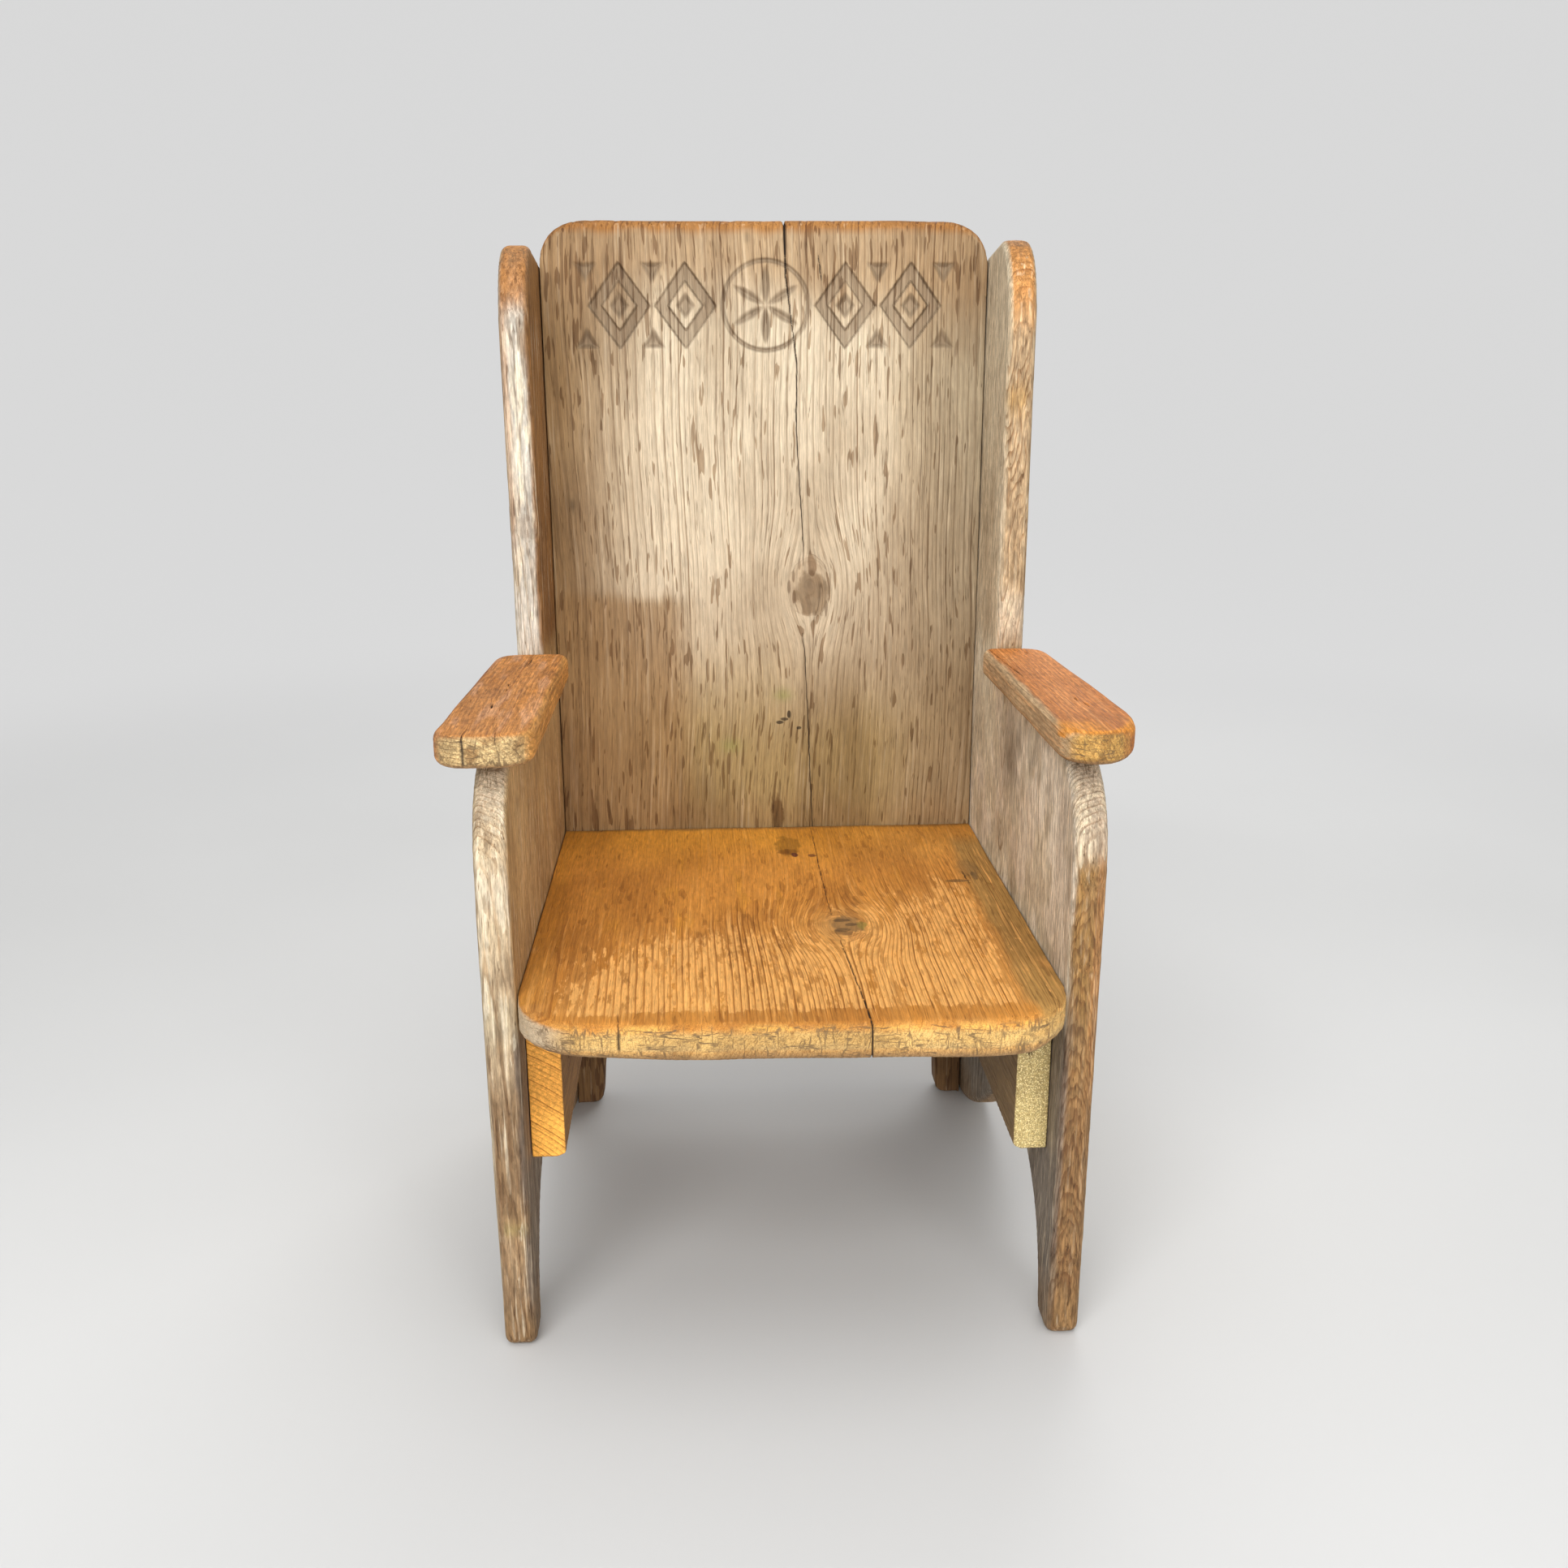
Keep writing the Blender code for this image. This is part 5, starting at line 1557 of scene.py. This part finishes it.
def paint_fields(board, points, normals):
    """Everything that shapes and colours a board, at each of its points."""
    w = SimpleNamespace(
        a=points[:, 0], b=points[:, 1], t=points[:, 2],
        na=normals[:, 0], nb=normals[:, 1], nt=normals[:, 2],
    )
    w.edge = 1 - np.abs(w.nt)
    for name, scale, number, octaves in FIELD_NOISES:
        setattr(w, name, noise(points, scale, board.seed + number, octaves))
    w.grain, w.rings, w.knot = grain_field(board, points)
    w.crack = crack_depth(board, points)
    w.pit = pit_depth(board, points)
    w.sunk = np.zeros(len(points))
    w.sunk_edge = np.zeros(len(points))
    if board.carved:
        front = w.nt > 0.5
        worn = 0.75 + 0.25 * noise(points, (30, 30, 30), board.seed + 4, 2)
        w.sunk = np.where(front, carving(points) * worn, 0.0)
        w.sunk_edge = np.where(front, carving_edge(points), 0.0) * (0.6 + 0.4 * w.mottle)
    w.end = blend(0.45, 0.85, np.abs(w.nb))
    w.patch = 0.5 + 0.7 * noise(points, (34, 80, 34), board.seed + 31, 3)
    w.clump = board.fleck_places(w) + 0.65 * noise(points, (38, 110, 38), board.seed + 32, 2)
    broken = blend(-0.5, 0.4, noise(points, (7, 90, 7), board.seed + 33, 2))
    w.lines = (1 - board.gaps * (1 - broken)) * board.line_places(w)
    w.bleach = board.bleach(w)
    w.figure = board.figure_places(w)
    w.lines = w.lines * (1 - 0.8 * w.figure) * (1 - 0.55 * w.knot)
    return w


def displacement(board, w, points):
    """How far each point moves out along its normal, in millimetres."""
    move = board.relief * (late_wood(w.rings) - 0.4) * (1 - w.knot) * (1 - w.end)
    move += board.waves * noise(points, (48, 120, 48), board.seed + 5, 2) - 0.3 * board.waves
    nick = blend(0.30, 0.75, noise(points, (6, 11, 6), board.seed + 6, 2))
    move -= board.nicks * nick * blend(0.15, 0.55, w.edge)
    move -= 0.22 * blend(0.42, 0.75, noise(points, (3.5, 9, 3.5), board.seed + 7, 2))
    move += 0.18 * w.knot * noise(points, (6, 8, 6), board.seed + 8, 2)
    move += board.bend(w)
    return move - w.crack - w.pit - w.sunk


def make_board(board):
    """Remakes one board, with its shape, fields and material, in place of its solid."""
    points, triangles = board_shape(board)
    normals = point_normals(points, triangles)
    w = paint_fields(board, points, normals)
    placed = points + normals * displacement(board, w, points)[:, None]
    axes = np.array((board.across, board.along, board.out))
    world = np.array(board.origin) + placed @ axes / 1000
    if board.across.cross(board.along).dot(board.out) < 0:
        triangles = triangles[:, ::-1]

    tone, cover = with_spots(board, w, board.tone(w))
    tone = mix(tone, KNOT_BROWN, 0.12 * w.knot)
    # Darker in the nail pits and dents.
    tone = mix(tone, DIRT_AND_SHADE, 0.8 * blend(0.1, 0.6, w.pit))
    worn = blend(0.10, 0.55, w.edge + 0.2 * w.mottle)
    marks = np.column_stack((blend(0.15, 1.0, w.crack), w.end, w.knot, worn))
    tone = np.clip(np.column_stack((tone, w.figure)), 0.0, 1.0)
    bare = 1 - 0.85 * cover
    veil = np.clip(np.column_stack((w.patch, w.clump, w.lines * bare, w.bleach * bare)), 0.0, 1.0)

    name = board.node + "_worn"
    mesh = bpy.data.meshes.new(name)
    mesh.vertices.add(len(world))
    mesh.vertices.foreach_set("co", world.ravel())
    mesh.loops.add(triangles.size)
    mesh.loops.foreach_set("vertex_index", triangles.ravel())
    mesh.polygons.add(len(triangles))
    mesh.polygons.foreach_set("loop_start", np.arange(0, triangles.size, 3))
    mesh.update(calc_edges=True)
    for label, kind, field, values in (
        ("tone", "FLOAT_COLOR", "color", tone), ("marks", "FLOAT_COLOR", "color", marks),
        ("veil", "FLOAT_COLOR", "color", veil),
        ("grain", "FLOAT_VECTOR", "vector", w.grain), ("ring", "FLOAT", "value", w.rings),
    ):
        layer = mesh.attributes.new(label, kind, "POINT")
        layer.data.foreach_set(field, values.astype(np.float32).ravel())
    mesh.shade_smooth()
    mesh.materials.append(wood_material(board.slot, **board.look))
    piece = bpy.data.objects.new(name, mesh)
    bpy.context.scene.collection.objects.link(piece)
    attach(piece, "root")
    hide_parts(board.node)
    print(name, len(world), "points", len(triangles), "triangles")


# Stage

FLOOR_RADIUS = 2.2
COVE_RADIUS = 1.7
COVE_HEIGHT = 2.6
FLOOR_COLOUR = (0.66, 0.66, 0.655)
FLOOR_CLOUD = (0.63, 0.63, 0.625)
BACKDROP_COLOUR = (0.72, 0.72, 0.72)
FLOOR_SIDES = 96
COVE_STEPS = 12

# Lamps: name, place, aim, size in metres and power in watts
LAMPS = (
    ("key", (-0.75, -1.80, 1.70), (0.0, 0.1, 0.35), 1.3, 31.0),
    ("top", (0.1, -0.45, 2.45), (0.0, 0.0, 0.3), 1.5, 15.0),
    ("low", (0.5, -2.10, 0.65), (0.0, 0.0, 0.3), 1.4, 26.0),
    ("rear", (0.5, 1.9, 1.7), (0.0, 0.0, 0.35), 1.4, 20.0),
)
SKY_STRENGTH = 0.52


def brighten_backdrop(g, where):
    """Makes the far floor and the backdrop as pale as the near floor, for rays that show them."""
    away = g.add("ShaderNodeVectorMath", {0: where}, operation="LENGTH").outputs["Value"]
    rays = g.add("ShaderNodeLightPath", {}).outputs
    shown = g.most(rays["Is Camera Ray"], rays["Is Glossy Ray"])
    shown = g.most(shown, rays["Is Transmission Ray"])
    amount = g.times(g.step(away, 0.8, 2.4, 0.0, 0.9), shown)
    glow = g.add("ShaderNodeEmission", {"Color": opaque(BACKDROP_COLOUR), "Strength": 1.0})
    output = next(node for node in g.tree.nodes if node.type == "OUTPUT_MATERIAL")
    lit = output.inputs["Surface"].links[0].from_socket
    mixed = g.add("ShaderNodeMixShader", {0: amount, 1: lit, 2: glow.outputs[0]})
    g.tree.links.new(mixed.outputs[0], output.inputs["Surface"])


def make_floor():
    """A pale round floor that curves up into a backdrop on all sides."""
    profile = [(0.0, 0.0), (0.6, 0.0), (1.4, 0.0), (FLOOR_RADIUS, 0.0)]
    for step in range(1, COVE_STEPS + 1):
        angle = math.radians(90 * step / COVE_STEPS)
        away = FLOOR_RADIUS + COVE_RADIUS * math.sin(angle)
        profile.append((away, COVE_RADIUS * (1 - math.cos(angle))))
    profile.append((FLOOR_RADIUS + COVE_RADIUS, COVE_HEIGHT))
    sides = FLOOR_SIDES
    points = [(0.0, 0.0, 0.0)]
    for radius, height in profile[1:]:
        for index in range(sides):
            angle = 2 * math.pi * index / sides
            points.append((radius * math.cos(angle), radius * math.sin(angle), height))
    faces = [(0, 1 + index, 1 + (index + 1) % sides) for index in range(sides)]
    for row in range(len(profile) - 2):
        start = 1 + row * sides
        for index in range(sides):
            following = (index + 1) % sides
            above = start + sides
            faces.append((start + index, above + index, above + following, start + following))
    mesh = bpy.data.meshes.new("floor")
    mesh.from_pydata(points, [], faces)
    mesh.shade_smooth()
    g = Graph("floor")
    where = g.add("ShaderNodeTexCoord", {}).outputs["Object"]
    cloud = g.noise(where, (1.3, 1.3, 1.3), 2.0)
    colour = g.mix(g.step(cloud, 0.3, 0.7), opaque(FLOOR_COLOUR), opaque(FLOOR_CLOUD))
    material = g.finish(colour, 0.9, cloud, 0.0, 0.001, 0.1)
    brighten_backdrop(g, where)
    mesh.materials.append(material)
    floor = bpy.data.objects.new("floor", mesh)
    bpy.context.scene.collection.objects.link(floor)


def make_lamp(name, place, aim, size, power):
    """A square soft lamp aimed at a point."""
    lamp = bpy.data.lights.new(name, "AREA")
    lamp.shape = "SQUARE"
    lamp.size = size
    lamp.energy = power
    holder = bpy.data.objects.new(name, lamp)
    holder.location = place
    holder.rotation_euler = (Vector(aim) - Vector(place)).to_track_quat("-Z", "Y").to_euler()
    bpy.context.scene.collection.objects.link(holder)


def make_light():
    """Soft light from the front, from above and, for the rear, from behind."""
    for lamp in LAMPS:
        make_lamp(*lamp)
    world = bpy.data.worlds.new("studio")
    world.use_nodes = True
    background = world.node_tree.nodes["Background"]
    background.inputs["Color"].default_value = (1.0, 1.0, 1.0, 1.0)
    background.inputs["Strength"].default_value = SKY_STRENGTH
    bpy.context.scene.world = world


def make_camera():
    """The camera at the photograph's viewing angle."""
    forward = Vector((
        math.sin(CAMERA_YAW) * math.cos(CAMERA_PITCH),
        math.cos(CAMERA_YAW) * math.cos(CAMERA_PITCH),
        -math.sin(CAMERA_PITCH),
    ))
    level = Vector((math.cos(CAMERA_YAW), -math.sin(CAMERA_YAW), 0.0))
    down = forward.cross(level)
    right = level * math.cos(CAMERA_ROLL) + down * math.sin(CAMERA_ROLL)
    up = level * math.sin(CAMERA_ROLL) - down * math.cos(CAMERA_ROLL)
    lens = bpy.data.cameras.new("camera")
    lens.sensor_width = SENSOR_WIDTH
    lens.lens = FOCAL_PIXELS * SENSOR_WIDTH / IMAGE_PIXELS
    camera = bpy.data.objects.new("camera", lens)
    turn = Matrix((right, up, -forward)).transposed().to_4x4()
    camera.matrix_world = Matrix.Translation(CAMERA_PLACE) @ turn
    bpy.context.scene.collection.objects.link(camera)
    bpy.context.scene.camera = camera


def main():
    bpy.context.scene.view_settings.view_transform = "Standard"
    make_camera()
    make_light()
    make_floor()
    boards = board_specs()
    places = nail_places()
    add_nail_pits(boards, places)
    for board in boards:
        make_board(board)
    rust = rust_material()
    for number, (node, head, facing) in enumerate(places):
        make_nail(node, head, facing, rust, number)


main()
